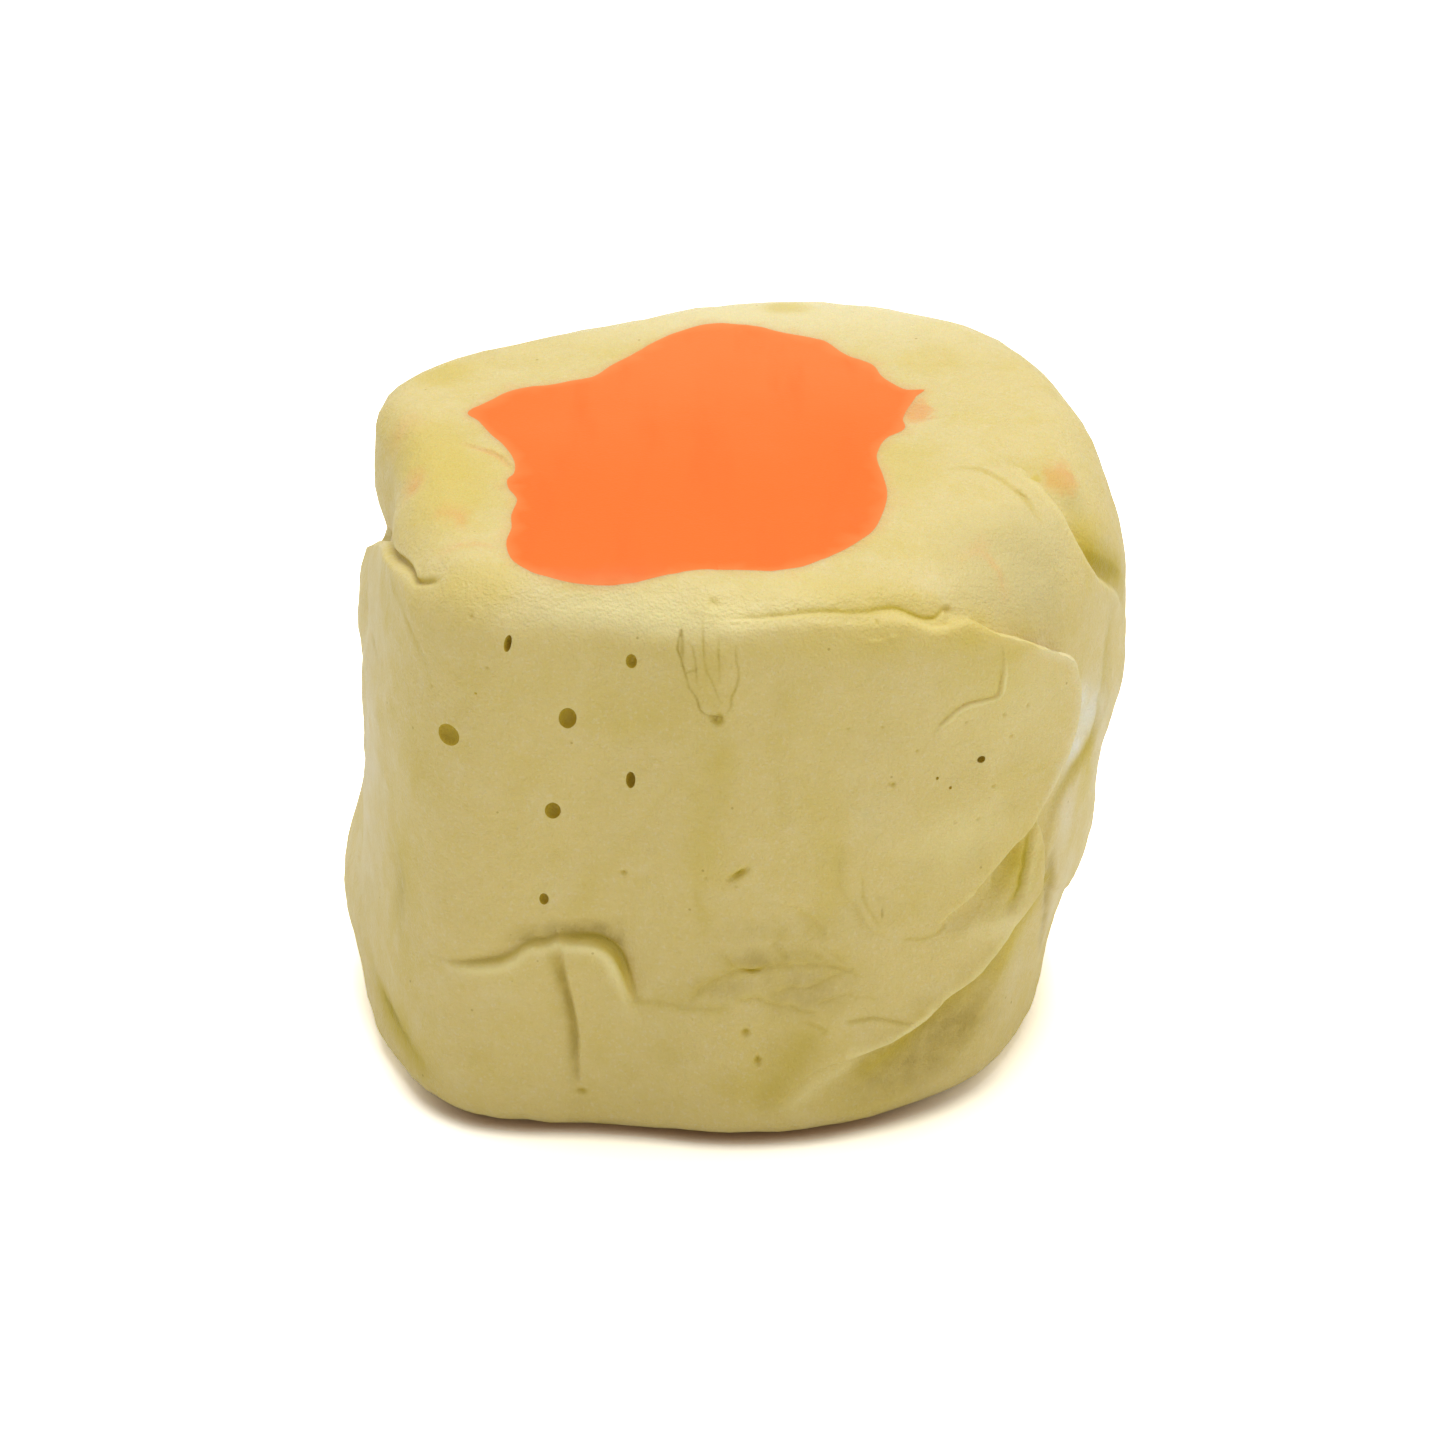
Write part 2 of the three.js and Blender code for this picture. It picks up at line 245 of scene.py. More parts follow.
# Sheets of the jacket that end in a free edge. An outline point is its angle, its height and how proud the
# edge stands there: where that is under nothing, the sheet has died into the side. `thick` is the lip's
# thickness, `under` how far it overhangs, `curl` how much the very edge turns out and `inside` holds the same
# for points within the outline.
frontSheet = {
    "thick": 0.42,
    "under": 0.6,
    "curl": 0.06,
    "outline": [
        (-9, 16.9, -0.15), (-4, 17.05, -0.03), (3, 17.09, 0.02), (9, 17.1, 0.05), (15, 17.07, 0.08),
        (20, 16.95, 0.1), (23.5, 16.9, 0.16), (26.8, 16.89, 0.23), (29, 16.82, 0.27), (30.9, 16.67, 0.3),
        (32.8, 16.5, 0.3), (34.8, 16.42, 0.32), (36.2, 16.46, 0.38), (37.4, 16.52, 0.4),
        (39.5, 16.52, 0.42), (41.3, 16.4, 0.44), (43.4, 16.05, 0.48), (47.5, 15.64, 0.54),
        (51.3, 15.16, 0.58), (55.6, 14.62, 0.64), (58.4, 14.16, 0.68), (59.8, 13.45, 0.7),
        (59.9, 12.7, 0.7), (59.2, 12.0, 0.7), (57.9, 11.3, 0.69), (56, 10.7, 0.68), (53.2, 10.0, 0.66),
        (49.9, 9.2, 0.64), (46.5, 8.75, 0.62), (44, 8.35, 0.57), (41.6, 7.9, 0.5), (39.2, 7.4, 0.4),
        (36.4, 6.98, 0.26), (34, 6.65, 0.12), (30.3, 6.5, 0.0), (26, 6.3, -0.06), (20, 6.3, -0.2),
        (10, 8, -0.25), (0, 10, -0.25), (-8, 13, -0.25),
    ],
    "inside": [
        (20, 14, 0.12), (35, 12, 0.3), (44, 12, 0.42), (45, 10.4, 0.4), (38, 9, 0.28), (28, 9, 0.08),
    ],
}
underSheet = {
    "thick": 0.42,
    "under": 0.6,
    "curl": 0.06,
    "outline": [
        (4, 0.6, -0.12), (7, 1.3, 0.06), (10, 1.95, 0.14), (13, 2.45, 0.2), (17, 2.68, 0.24),
        (20.4, 2.76, 0.26), (23.7, 2.86, 0.28), (26.9, 3.05, 0.3), (30.2, 3.38, 0.32), (33.3, 3.7, 0.34),
        (35.6, 4.05, 0.36), (38.2, 4.32, 0.4), (40.9, 4.6, 0.45), (43.6, 4.9, 0.48), (46.3, 5.25, 0.47),
        (49.3, 5.62, 0.42), (52.1, 5.87, 0.36), (54.6, 6.15, 0.32), (56.3, 6.5, 0.3), (56.8, 6.97, 0.3),
        (56.9, 7.45, 0.28), (56.5, 7.96, 0.26), (55.8, 8.4, 0.22), (55, 8.9, 0.14), (54.2, 9.4, 0.02),
        (53, 10, 0.0), (47, 11, 0.0), (30, 10, 0.0), (15, 9, -0.1), (2, 8, -0.3), (0, 3, -0.3),
    ],
    "inside": [
        (53.4, 8.7, 0.08), (52.8, 8.4, 0.04), (52.7, 7.8, 0.0), (51.8, 7.2, 0.0), (50.8, 6.65, 0.05),
        (48.6, 6.5, 0.1), (54.8, 8.4, 0.26), (54.9, 7.7, 0.32), (54.4, 7.1, 0.34), (53.6, 6.65, 0.36),
        (52.2, 6.3, 0.38), (49.5, 6.05, 0.4), (45.5, 6.1, 0.34), (41, 6.3, 0.28), (48.5, 8.2, -0.3),
        (45.5, 7.5, -0.18), (41, 7.2, 0.0), (38, 7.0, 0.05), (46.5, 5.7, 0.42), (44, 5.4, 0.38),
        (38, 5.2, 0.26), (30, 4.5, 0.18), (20, 4, 0.12),
    ],
}
backSheet = {
    "thick": 0.5,
    "under": 0.3,
    "curl": 0.0,
    "outline": [
        (80, 13.8, -0.1), (78, 12.7, 0.0), (77, 11.6, 0.06), (75.5, 10.7, 0.12), (71, 10.15, 0.13),
        (65, 9.75, 0.15), (60.8, 9.35, 0.14), (58.3, 8.7, 0.14), (57.2, 7.9, 0.14), (57.3, 7.1, 0.14),
        (59, 6.3, 0.14), (62, 5.75, 0.14), (66, 5.3, 0.14), (71, 4.95, 0.14), (78, 4.65, 0.14),
        (88, 4.5, 0.12), (98, 4.6, 0.05), (108, 5.2, -0.05), (118, 6.2, -0.15), (130, 8, -0.25),
        (138, 10.5, -0.25), (136, 13, -0.25), (118, 14.6, -0.25), (100, 14.6, -0.25), (88, 14.4, -0.15),
    ],
    "inside": [(84, 11, 0.16), (90, 8, 0.08), (100, 11, 0.12), (75, 7.5, 0.14)],
}
leftPanel = {
    "thick": 0.5,
    "under": 0.35,
    "curl": 0.0,
    "outline": [
        (-122, 11.5, -0.15), (-112, 12.6, 0.1), (-106, 13.1, 0.43), (-101, 13.6, 0.63), (-95, 14.2, 0.68),
        (-90, 14.8, 0.64), (-84, 15.4, 0.54), (-79, 15.8, 0.42), (-73, 16.12, 0.34), (-68, 16.38, 0.26),
        (-63.6, 16.58, 0.2), (-60.5, 16.7, 0.14), (-57.5, 16.76, 0.08), (-55, 16.75, 0.02),
        (-50, 16.8, -0.1), (-40, 15.3, -0.18), (-40, 12, -0.2), (-60, 8, -0.2), (-85, 6.5, -0.2),
        (-110, 7, -0.2), (-124, 9.5, -0.2),
    ],
    "inside": [(-84, 13, 0.2), (-84, 10, 0.1), (-70, 13, 0.05), (-96, 12, 0.44), (-95, 10, 0.26)],
}
# the grid's squares, how deep a sheet is rooted in the side and over how far, and how far in its curl reaches
sheetCuts = {"grid": 0.07, "root": 0.9, "rootRun": 0.5, "curlRun": 0.45}


def insideOutline(points, outline):
    inside = np.zeros(len(points), bool)
    for a, b in zip(outline, np.roll(outline, -1, 0)):
        crosses = (a[1] > points[:, 1]) != (b[1] > points[:, 1])
        with np.errstate(divide="ignore", invalid="ignore"):
            x = a[0] + (points[:, 1] - a[1]) * (b[0] - a[0]) / (b[1] - a[1])
        inside ^= crosses & (points[:, 0] < x)
    return inside


# A sheet: a fine grid trimmed to the outline, extruded, and wrapped round the side
def addSheet(name, sheet):
    outline = smoothRun(sheet["outline"], 8, closed=True)
    outline[:, 0] *= perDegree
    low = outline[:, :2].min(0)
    high = outline[:, :2].max(0)
    counts = np.ceil((high - low) / sheetCuts["grid"]).astype(int)
    bpy.ops.object.select_all(action="DESELECT")
    bpy.ops.mesh.primitive_grid_add(x_subdivisions=counts[0], y_subdivisions=counts[1], size=1)
    piece = bpy.context.object
    piece.name = name
    points = getPoints(piece)
    points[:, :2] = low + (points[:, :2] + 0.5) * (high - low)
    setPoints(piece, points)
    inside = insideOutline(points[:, :2], outline[:, :2])
    bpy.ops.object.mode_set(mode="EDIT")
    selectWhere(piece, "faces", lambda f: not all(inside[v.index] for v in f.verts))
    bpy.ops.mesh.delete(type="FACE")
    bpy.ops.mesh.select_all(action="SELECT")
    bpy.ops.mesh.extrude_region()
    bpy.ops.object.mode_set(mode="OBJECT")
    upper = np.empty(len(piece.data.vertices), bool)
    piece.data.vertices.foreach_get("select", upper)
    points = getPoints(piece)
    closedRun = np.concatenate([outline, outline[:1]])
    distance, along, _ = toRun(points[:, :2], closedRun[:, :2])
    # the grid's stepped border moves onto the outline
    place = along * (len(closedRun) - 1)
    first = np.minimum(place.astype(int), len(closedRun) - 2)
    nearest = closedRun[first] + (place - first)[:, None] * (closedRun[first + 1] - closedRun[first])
    border = distance < 0.75 * sheetCuts["grid"]
    points[border, :2] = nearest[border, :2]
    distance[border] = 0
    # how proud the sheet stands inside, from its edge
    weight = 0
    proud = 0
    inner = np.array(sheet["inside"]) * [perDegree, 1, 1]
    for sample in [*outline[::4], *inner]:
        near = 1 / (((points[:, :2] - sample[:2]) ** 2).sum(1) + 0.05) ** 1.5
        weight = weight + near
        proud = proud + near * sample[2]
    proud = proud / weight + sheet["curl"] * np.exp(-((distance / sheetCuts["curlRun"]) ** 2))
    half = sheet["thick"] / 2
    edge = roundedOff(distance, half)
    root = smoothStep(distance, sheet["under"], sheet["under"] + sheetCuts["rootRun"])
    lower = (proud - sheet["thick"] + edge) * (1 - root) - sheetCuts["root"] * root
    out = np.where(upper, proud - edge, lower)
    setPoints(piece, besideSide(points[:, 0] / perDegree, points[:, 1], out))
    workOn(piece)
    bpy.ops.object.mode_set(mode="EDIT")
    faceOutwards()
    return piece


# Hollows cut before the sheets lie over them, and a slit cut after. A point is its angle, its height, how far
# out the cutter's middle lies and its radius.
hollows = {
    "pocket": [
        (51.8, 9.0, 0.5, 0.5), (50, 8.1, 0.45, 0.65), (47.5, 7.5, 0.42, 0.7), (45.3, 7.3, 0.5, 0.5),
    ],
    "underHollow": [
        (53, 5.2, 0.45, 0.45), (50.5, 4.75, 0.6, 0.75), (47.5, 4.25, 0.85, 1.15), (43, 3.6, 1.15, 1.6),
        (37, 2.8, 1.4, 1.95), (31, 2.1, 1.35, 1.75), (25, 1.45, 1.2, 1.45), (18, 0.95, 1.1, 1.15),
    ],
}
slits = {
    "leftNotch": [
        (-106, 13.3, 0.1, 0.17), (-101, 13.9, 0.1, 0.17), (-95, 14.5, 0.05, 0.17), (-89, 15.1, 0.03, 0.16),
        (-83, 15.65, 0.03, 0.15), (-78, 15.98, 0.04, 0.14), (-73, 16.2, 0.06, 0.12), (-69, 16.36, 0.1, 0.1),
    ],
}


# A cutter: a bevelled curve, thicker or thinner along its run, made a mesh
def addCutter(name, points):
    run = smoothRun(points, 6)
    places = besideSide(run[:, 0], run[:, 1], run[:, 2])
    curve = bpy.data.curves.new(name, "CURVE")
    curve.dimensions = "3D"
    curve.bevel_depth = 1
    curve.bevel_resolution = 5
    curve.use_fill_caps = True
    spline = curve.splines.new("POLY")
    spline.points.add(len(places) - 1)
    for point, place, radius in zip(spline.points, places, run[:, 3]):
        point.co = (*place, 1)
        point.radius = radius
    piece = bpy.data.objects.new(name, curve)
    bpy.context.collection.objects.link(piece)
    workOn(piece)
    bpy.ops.object.convert(target="MESH")
    bpy.ops.object.mode_set(mode="EDIT")
    bpy.ops.mesh.select_all(action="SELECT")
    bpy.ops.mesh.remove_doubles(threshold=0.001)
    faceOutwards()
    return piece


def useBoolean(piece, other, operation):
    useModifier(piece, "BOOLEAN", object=other, operation=operation, solver="MANIFOLD")


def removePiece(piece):
    bpy.data.objects.remove(piece, do_unlink=True)


lipRun = [
    (-17, 4.2, 0), (-17.8, 4.65, 0.3), (-18.5, 5.1, 0.65), (-19.3, 5.62, 0.9), (-20.1, 6.05, 1),
    (-21.1, 6.36, 1), (-22.4, 6.57, 1), (-24.3, 6.7, 1), (-26.7, 6.7, 0.95), (-28.2, 6.7, 0.8),
    (-29.3, 6.74, 0.65), (-30.1, 6.66, 0.6), (-31.2, 6.57, 0.6), (-33, 6.53, 0.6), (-34.3, 6.34, 0.65),
    (-35.6, 6.09, 0.7), (-37.2, 5.9, 0.75), (-40, 5.74, 0.6), (-43, 5.6, 0.3), (-46, 5.5, 0),
]


# Marks pressed, torn or folded in. Their points are (angle, height) on the side, (x, y) on the top, or (x,
# y, z) on a path past the rim, and may end in the mark's strength there. `deep` sinks the line over `wide`
# on both sides, or falls away over `soft` to the right of its direction. `lip` raises the surface just left
# of the line and `step` all of that side, dying away over `fade`. The tones, painted shade among them, are
# painted over `stainWide`, shifted to the line's right by `stainShift`, and the painted highlight over
# `ridgeWide`, shifted left by `ridgeShift`.
def sideMark(points, wide, deep=0, **more):
    return {"on": "side", "points": points, "wide": wide, "deep": deep, **more}


def topMark(points, wide, deep=0, **more):
    return sideMark(points, wide, deep, on="top", **more)


def pathMark(points, wide, deep=0, **more):
    return sideMark(points, wide, deep, on="path", **more)


# A mark along a stretch of a sheet's outline
def edgeMark(outline, wide, **more):
    return sideMark([point[:2] for point in outline], wide, **more)


# the groove over the rim on the right: x, y, z, how deep and how stained
grooveRun = [
    (11.35, 0.2, 12.1, 0, 0.1), (11.15, -0.65, 12.93, 0.15, 0.5), (10.97, -1.35, 13.7, 0.3, 0.8),
    (10.8, -1.9, 14.32, 0.5, 1), (10.5, -2.75, 15.19, 0.85, 1), (10.25, -3.05, 15.79, 1, 0.95),
    (10.03, -3.0, 16.24, 1, 0.8), (9.87, -2.8, 16.57, 0.9, 0.55), (9.67, -2.5, 16.86, 0.8, 0.35),
    (9.47, -2.15, 17.07, 0.7, 0.25), (9.2, -1.7, 17.29, 0.55, 0.2), (8.95, -1.2, 17.4, 0.45, 0.4),
    (8.7, -0.95, 17.5, 0.25, 0.3),
]
grooveFacing = (0.76, -0.15, 0.63)
# In every mark the dark yellow crease tone is painted shade in the crease or under the edge, the shade tone a
# broader painted shadow and the highlight tone a painted highlight on the lit side; dirt and orange smears
# are the candy's own colour.
marks = [
    # the raised lip low on the left, with painted shade in the valley above it and a painted highlight on
    # its edge, and the crease that runs down from its cusp
    sideMark(lipRun, 0.06, 0.26, soft=0.16, step=0.3, fade=1.5, stain=1, stainWide=0.09),
    sideMark([(-21.5, 6.75, 0), (-23, 6.95, 0.9), (-25, 7.0, 1), (-27, 6.98, 1), (-29, 7.0, 0.7),
              (-31.5, 6.9, 0.5), (-34.5, 6.6, 0.5), (-37.5, 6.2, 0.5), (-41, 6.0, 0)], 0.3, 0.13),
    sideMark(lipRun[6:14], 0.3, shade=0.9, stainWide=0.3, stainShift=0.25),
    sideMark(lipRun, 0.14, ridge=1, ridgeShift=0.23, ridgeWide=0.17),
    sideMark([(-29.4, 6.5, 0.2), (-28.9, 5.91, 0.8), (-28.4, 5.23, 1), (-27.8, 4.55, 1), (-27.4, 3.85, 1),
              (-27.2, 3.3, 0.9), (-27.2, 2.6, 0.7), (-27.1, 2.05, 0.5), (-26.9, 1.6, 0)], 0.07, 0.22,
             soft=0.28, step=0.08, fade=0.9, stain=0.35, stainWide=0.14, stainShift=0.1, shade=0.8),
    # the soft folds down the left side
    sideMark([(-72, 2.9, 0), (-68, 2.4, 0.6), (-64, 2.15, 1), (-59.5, 1.95, 1), (-53, 1.6, 0.8),
              (-50, 1.3, 0.5), (-48, 1.0, 0)], 0.45, 0.12, stain=1, stainWide=0.46),
    sideMark([(-61, 4.6, 0), (-58.7, 4.1, 1), (-54.5, 3.8, 1), (-51, 3.4, 0)], 0.4, -0.1),
    sideMark([(-60, 8.3, 0), (-57.5, 7.2, 1), (-57.2, 6.2, 1), (-57.2, 5.0, 0)], 0.5, 0.08, stain=0.35,
             stainWide=0.4),
    sideMark([(-66, 16.5, 0.3), (-63.8, 16.11, 1), (-57.2, 15.95, 0.8), (-52.6, 15.45, 1),
              (-49.5, 14.89, 0.8), (-47.9, 14.24, 0.3)], 0.14, 0.02, stain=0.3, stainWide=0.16),
    sideMark([(-76, 13.3, 0), (-73, 13.0, 1), (-70, 12.7, 0)], 0.16, 0.03, stain=0.4, stainWide=0.16),
    # the end of the notch over the left panel
    sideMark([(-76, 16.05, 0.2), (-73, 16.2, 0.8), (-70, 16.33, 1), (-66.5, 16.5, 1), (-63.6, 16.65, 1),
              (-60.5, 16.78, 1), (-58.5, 16.84, 1), (-57.1, 16.85, 1), (-55.8, 16.82, 0.9),
              (-53.8, 16.93, 0.7), (-52.1, 17.07, 0.6), (-50.6, 17.18, 0)], 0.09, 0.2, stain=1,
             stainWide=0.1, ridge=0.4),
    # the crease along the front sheet's upper edge
    sideMark([(38.7, 16.6, 0), (37.4, 16.6, 0.5), (36.2, 16.54, 0.8), (34.8, 16.48, 1), (32.8, 16.55, 1),
              (30.9, 16.72, 1), (29, 16.88, 1), (26.8, 16.95, 0.9), (23.5, 16.97, 0.7), (20, 17.02, 0.7),
              (18, 17.08, 0.9), (14, 17.15, 1), (10, 17.18, 1), (5, 17.16, 0.9), (0, 17.13, 0.6),
              (-3, 17.12, 0.3), (-6, 17.12, 0)], 0.05, 0.06, soft=0.1, step=0.03, fade=0.3, stain=0.85,
             stainWide=0.065, stainShift=0.02, ridge=0.3),
    # the valley behind the under sheet's curled rim, with painted shade in it and a painted highlight on the
    # rim
    sideMark([(53.4, 8.9, 0.4), (52.9, 8.4, 0.9), (52.7, 7.8, 1), (52, 7.25, 1), (51, 6.75, 1),
              (49.6, 6.5, 0.7), (48, 6.4, 0.4), (45, 6.4, 0.3), (41, 6.6, 0)], 0.14, 0.08, stain=1,
             stainWide=0.32, stainShift=0.08, ridge=0.7),
    sideMark([(52, 9.0, 0.4), (50.8, 8.2, 0.9), (49, 7.5, 0.9), (46, 7.1, 0.4), (42, 6.95, 0)], 0.3,
             stain=0.6, stainWide=0.5),
    # the crease between the front sheet and the sheet behind it, with painted shade along it
    sideMark([(76, 12.4, 0), (74.5, 11.6, 0.3), (73.6, 11.2, 0.7), (73.4, 10.7, 1), (71, 10.0, 1),
              (65, 9.62, 1), (61, 9.2, 0.9), (59, 8.8, 0.5), (58.3, 8.2, 0.2), (58, 7.6, 0)], 0.2, 0.06,
             stain=0.65, stainWide=0.26, stainShift=0.1),
    sideMark([(80, 14.2, 0), (78, 13.2, 0.8), (75.5, 12.0, 1), (74, 11.2, 0.6), (73.5, 10.6, 0)], 0.4, 0.05,
             stain=0.5, stainWide=0.4),
    sideMark([(58.5, 7.6, 0), (59.5, 6.8, 1), (61.5, 5.4, 1), (64, 3.9, 0.6), (65, 3.0, 0)], 0.2, 0.06,
             shade=0.8, stainWide=0.3),
    # the groove over the rim on the right, sharp on its left, with painted shade in it and a painted
    # highlight on its left edge
    pathMark([point[:4] for point in grooveRun], 0.16, 0.44, facing=grooveFacing, soft=0.95, ridge=0.5),
    pathMark([(*point[:3], point[4]) for point in grooveRun], 0.2, facing=grooveFacing, stain=1,
             stainWide=0.5, stainShift=0.4),
    # wrinkles low on the front
    sideMark([(-9.5, 4.75, 0), (-8, 4.95, 0.8), (-5.9, 5.4, 1), (-2.4, 5.79, 1), (-0.3, 5.94, 1),
              (3.8, 5.96, 0.7), (5.8, 6.11, 1), (8.6, 6.11, 0.8), (12.8, 6.14, 0.9), (16, 6.0, 0.5),
              (18.5, 5.87, 0)], 0.07, 0.035, step=0.07, fade=0.7, stain=0.3, stainWide=0.24, shade=0.45),
    sideMark([(-0.4, 5.97, 0.2), (0.6, 5.97, 0.8), (2.4, 5.93, 1), (3.6, 5.99, 0.8), (4.4, 6.08, 0.2)],
             0.07, 0.08, stain=1, shade=0.6),
    sideMark([(-2.4, 6.5, 0), (-1.7, 6.28, 1), (-0.3, 6.07, 1), (0.7, 5.98, 0.4)], 0.06, 0.035, stain=0.4,
             stainWide=0.2),
    sideMark([(4.5, 4.95, 0), (7.3, 5.34, 0.8), (11.5, 5.4, 0.7), (15, 5.68, 1), (18.5, 5.87, 0.3)], 0.06,
             0.035, step=0.04, fade=0.4, stain=0.3, stainWide=0.18, shade=0.3),
    sideMark([(10, 4.4, 0), (10.8, 4.24, 1), (14.3, 3.88, 1), (12.2, 3.65, 0)], 0.07, 0.03, stain=0.35,
             stainWide=0.14),
    sideMark([(11.5, 6.5, 0), (12.8, 6.42, 1), (14.9, 6.1, 0.8), (18.5, 5.79, 1), (19.6, 5.55, 0.3)], 0.06,
             0.035, stain=0.35, stainWide=0.17, shade=0.3),
    sideMark([(-1.0, 5.2), (0.7, 5.01), (3.0, 5.07), (4.6, 4.9), (6.8, 4.81), (9.0, 4.78), (10.4, 4.63),
              (12, 4.57), (14, 4.4)], 0.05, 0.03, step=0.05, fade=0.4, stain=0.3, stainWide=0.14),
    sideMark([(-20.2, 4.8), (-18.3, 4.65), (-16.4, 4.62), (-12, 4.65), (-9.4, 4.58), (-3.8, 4.64),
              (0.4, 4.72)], 0.07, 0.02, step=-0.04, fade=0.7, stain=0.3, stainWide=0.2),
    sideMark([(12.4, 4.82), (15.0, 4.95), (17.9, 5.05), (19.5, 4.98)], 0.05, 0.02, step=0.03, fade=0.4,
             stain=0.2, stainWide=0.1),
    sideMark([(19.0, 4.82), (21.6, 4.8), (23.7, 4.57)], 0.05, 0.02, stain=0.2),
    sideMark([(13.2, 6.8), (14.8, 6.57), (16.2, 6.35), (18.2, 5.97)], 0.06, 0.02, step=0.03, fade=0.5,
             stain=0.2, stainWide=0.12),
    sideMark([(9.5, 7.9), (12.0, 7.62), (13.6, 7.3), (14.8, 6.95)], 0.09, 0.025, step=0.03, fade=0.5,
             stain=0.3, stainWide=0.16),
    sideMark([(5.2, 6.9), (6.4, 6.75), (7.4, 6.45), (8.6, 6.4)], 0.12, 0.03, stain=0.3, stainWide=0.22),
    # the faint edge of a layer across the front, and seams that run down from it
    sideMark([(20.5, 8.05), (18.8, 8.0), (15.4, 8.0), (12.2, 7.99), (9.6, 8.02), (5.8, 8.13), (0.4, 8.22)],
             0.03, 0.008, step=-0.05, fade=0.9, stain=0.15, stainWide=0.08),
    sideMark([(16.8, 10.6), (17.0, 9.4), (17.0, 8.76), (18.0, 8.22), (19.7, 7.8), (21.8, 7.09),
              (25.2, 6.72)], 0.06, 0.015, step=0.04, fade=0.6, stain=0.2, stainWide=0.1),
    sideMark([(20.6, 8.91), (20.8, 8.53), (21.0, 8.08), (22.4, 7.52), (23.8, 7.03)], 0.05, 0.02, stain=0.3),
    sideMark([(-7.6, 8.65), (-6.7, 8.16), (-6.2, 7.72), (-6.0, 7.15)], 0.05, 0.015, stain=0.25),
    # the crease over the under sheet and the trough beside its lower end
    sideMark([(17, 4.05), (20.4, 4.0), (23.0, 4.0), (25.8, 3.84), (28.6, 3.65), (31.7, 3.59)], 0.05, 0.04,
             step=-0.06, fade=0.6, stain=0.4, stainWide=0.08),
    sideMark([(13.5, 4.2, 0), (11.5, 3.8, 0.7), (9.6, 3.1, 1), (7, 2.2, 1), (4, 1.5, 0.8), (1.6, 1.1, 0)],
             0.5, 0.12, stain=0.45, stainWide=0.6),
    sideMark([(6.5, 0.9, 0), (8.8, 1.25, 0.7), (11.6, 1.68, 1), (14.5, 2.04, 1), (18.8, 2.55, 0.9),
              (24, 2.8, 0)], 0.25, -0.03, ridge=0.6, ridgeShift=0, ridgeWide=0.25),
    # a torn scar on the front sheet
    sideMark([(43.6, 15.1, 0.3), (43.3, 14.57, 1), (42.9, 14.13, 1), (42.0, 14.0, 0.8), (39.0, 14.01, 1),
              (37.3, 14.0, 1), (35.5, 13.88, 0.8), (34.2, 13.68, 1), (33.0, 13.5, 0.6), (31.6, 13.1, 0)],
             0.06, 0.08, step=0.07, fade=0.4, stain=0.35, stainWide=0.1, stainShift=0.05, ridge=1,
             ridgeShift=0.08, ridgeWide=0.06),
    # where the front sheet's lower edge turns into a crease
    sideMark([(36.0, 6.8), (34.4, 6.55), (32.0, 6.45), (29.6, 6.5), (26.6, 6.63)], 0.06, 0.03, stain=0.3),
    # the torn flake
    sideMark([(-1.5, 9.04, 0), (-0.8, 9.12, 0.8), (0.1, 9.24, 1), (0.9, 9.34, 0.8), (1.6, 9.42, 0)], 0.1,
             0.16, lip=0.04, stain=1, stainWide=0.13),
    # thin cracks high on the front
    sideMark([(-10.0, 16.78, 0.8), (-10.2, 16.6, 1), (-10.4, 16.32, 1), (-9.7, 16.05, 0.7),
              (-9.2, 15.73, 0.9), (-8.7, 15.45, 0.5), (-8.3, 15.17, 0.6), (-7.4, 14.98, 0.3),
              (-6.8, 14.75, 1), (-6.4, 14.5, 0.9), (-5.3, 14.35, 0.5), (-4.0, 14.29, 1), (-2.8, 14.3, 1)],
             0.03, 0.02, dirt=0.6, stain=0.5),
    sideMark([(-10.0, 16.72, 0.8), (-9.6, 16.4, 1), (-9.5, 16.05, 0.3)], 0.05, 0.02, dirt=0.6, stain=0.4),
    sideMark([(-6.4, 17.15, 0.3), (-6.2, 16.84, 0.6), (-6.0, 16.48, 0.9), (-5.7, 16.08, 0.5),
              (-5.3, 15.76, 0.9), (-4.6, 15.52, 0.4), (-4.0, 15.24, 0.8), (-3.4, 14.95, 0.4),
              (-2.8, 14.75, 0)], 0.03, 0.018, dirt=0.35, stain=0.5),
    sideMark([(-3.4, 16.73, 0), (-3.4, 16.35, 0.8), (-3.2, 15.9, 0.6), (-3.1, 15.41, 0)], 0.03, 0.018,
             dirt=0.3, stain=0.5),
    sideMark([(-0.4, 16.52, 0.2), (-0.4, 16.13, 0.7), (0.0, 15.72, 0.4), (-0.4, 15.3, 1), (-1.1, 15.01, 1),
              (-1.3, 14.69, 0.6), (-2.0, 14.43, 0.2)], 0.03, 0.018, dirt=0.45, stain=0.5),
    sideMark([(-9.0, 15.6, 0.3), (-7.8, 15.71, 0.8), (-7.1, 15.79, 0.7), (-7.4, 16.13, 0.8),
              (-7.8, 16.37, 0.6), (-8.7, 16.51, 0.2)], 0.03, 0.018, dirt=0.35, stain=0.4),
    sideMark([(-7.1, 15.79, 0.8), (-7.0, 15.48, 0.8), (-7.0, 15.35, 0)], 0.03, 0.018, dirt=0.35, stain=0.4),
    sideMark([(-4.6, 14.28, 0.6), (-3.6, 14.12, 1), (-2.9, 14.2, 1), (-3.2, 14.36, 0.6)], 0.08, 0.03,
             dirt=0.4, stain=0.8),
    sideMark([(23.3, 8.0), (23.9, 7.85), (24.1, 7.55), (24.0, 7.35)], 0.025, 0.015, dirt=0.6),
    sideMark([(-3.4, 14.0, 0.5), (-3.2, 13, 1), (-3.4, 11.5, 0.8), (-3.6, 10, 0)], 0.5, 0.01, stain=0.14,
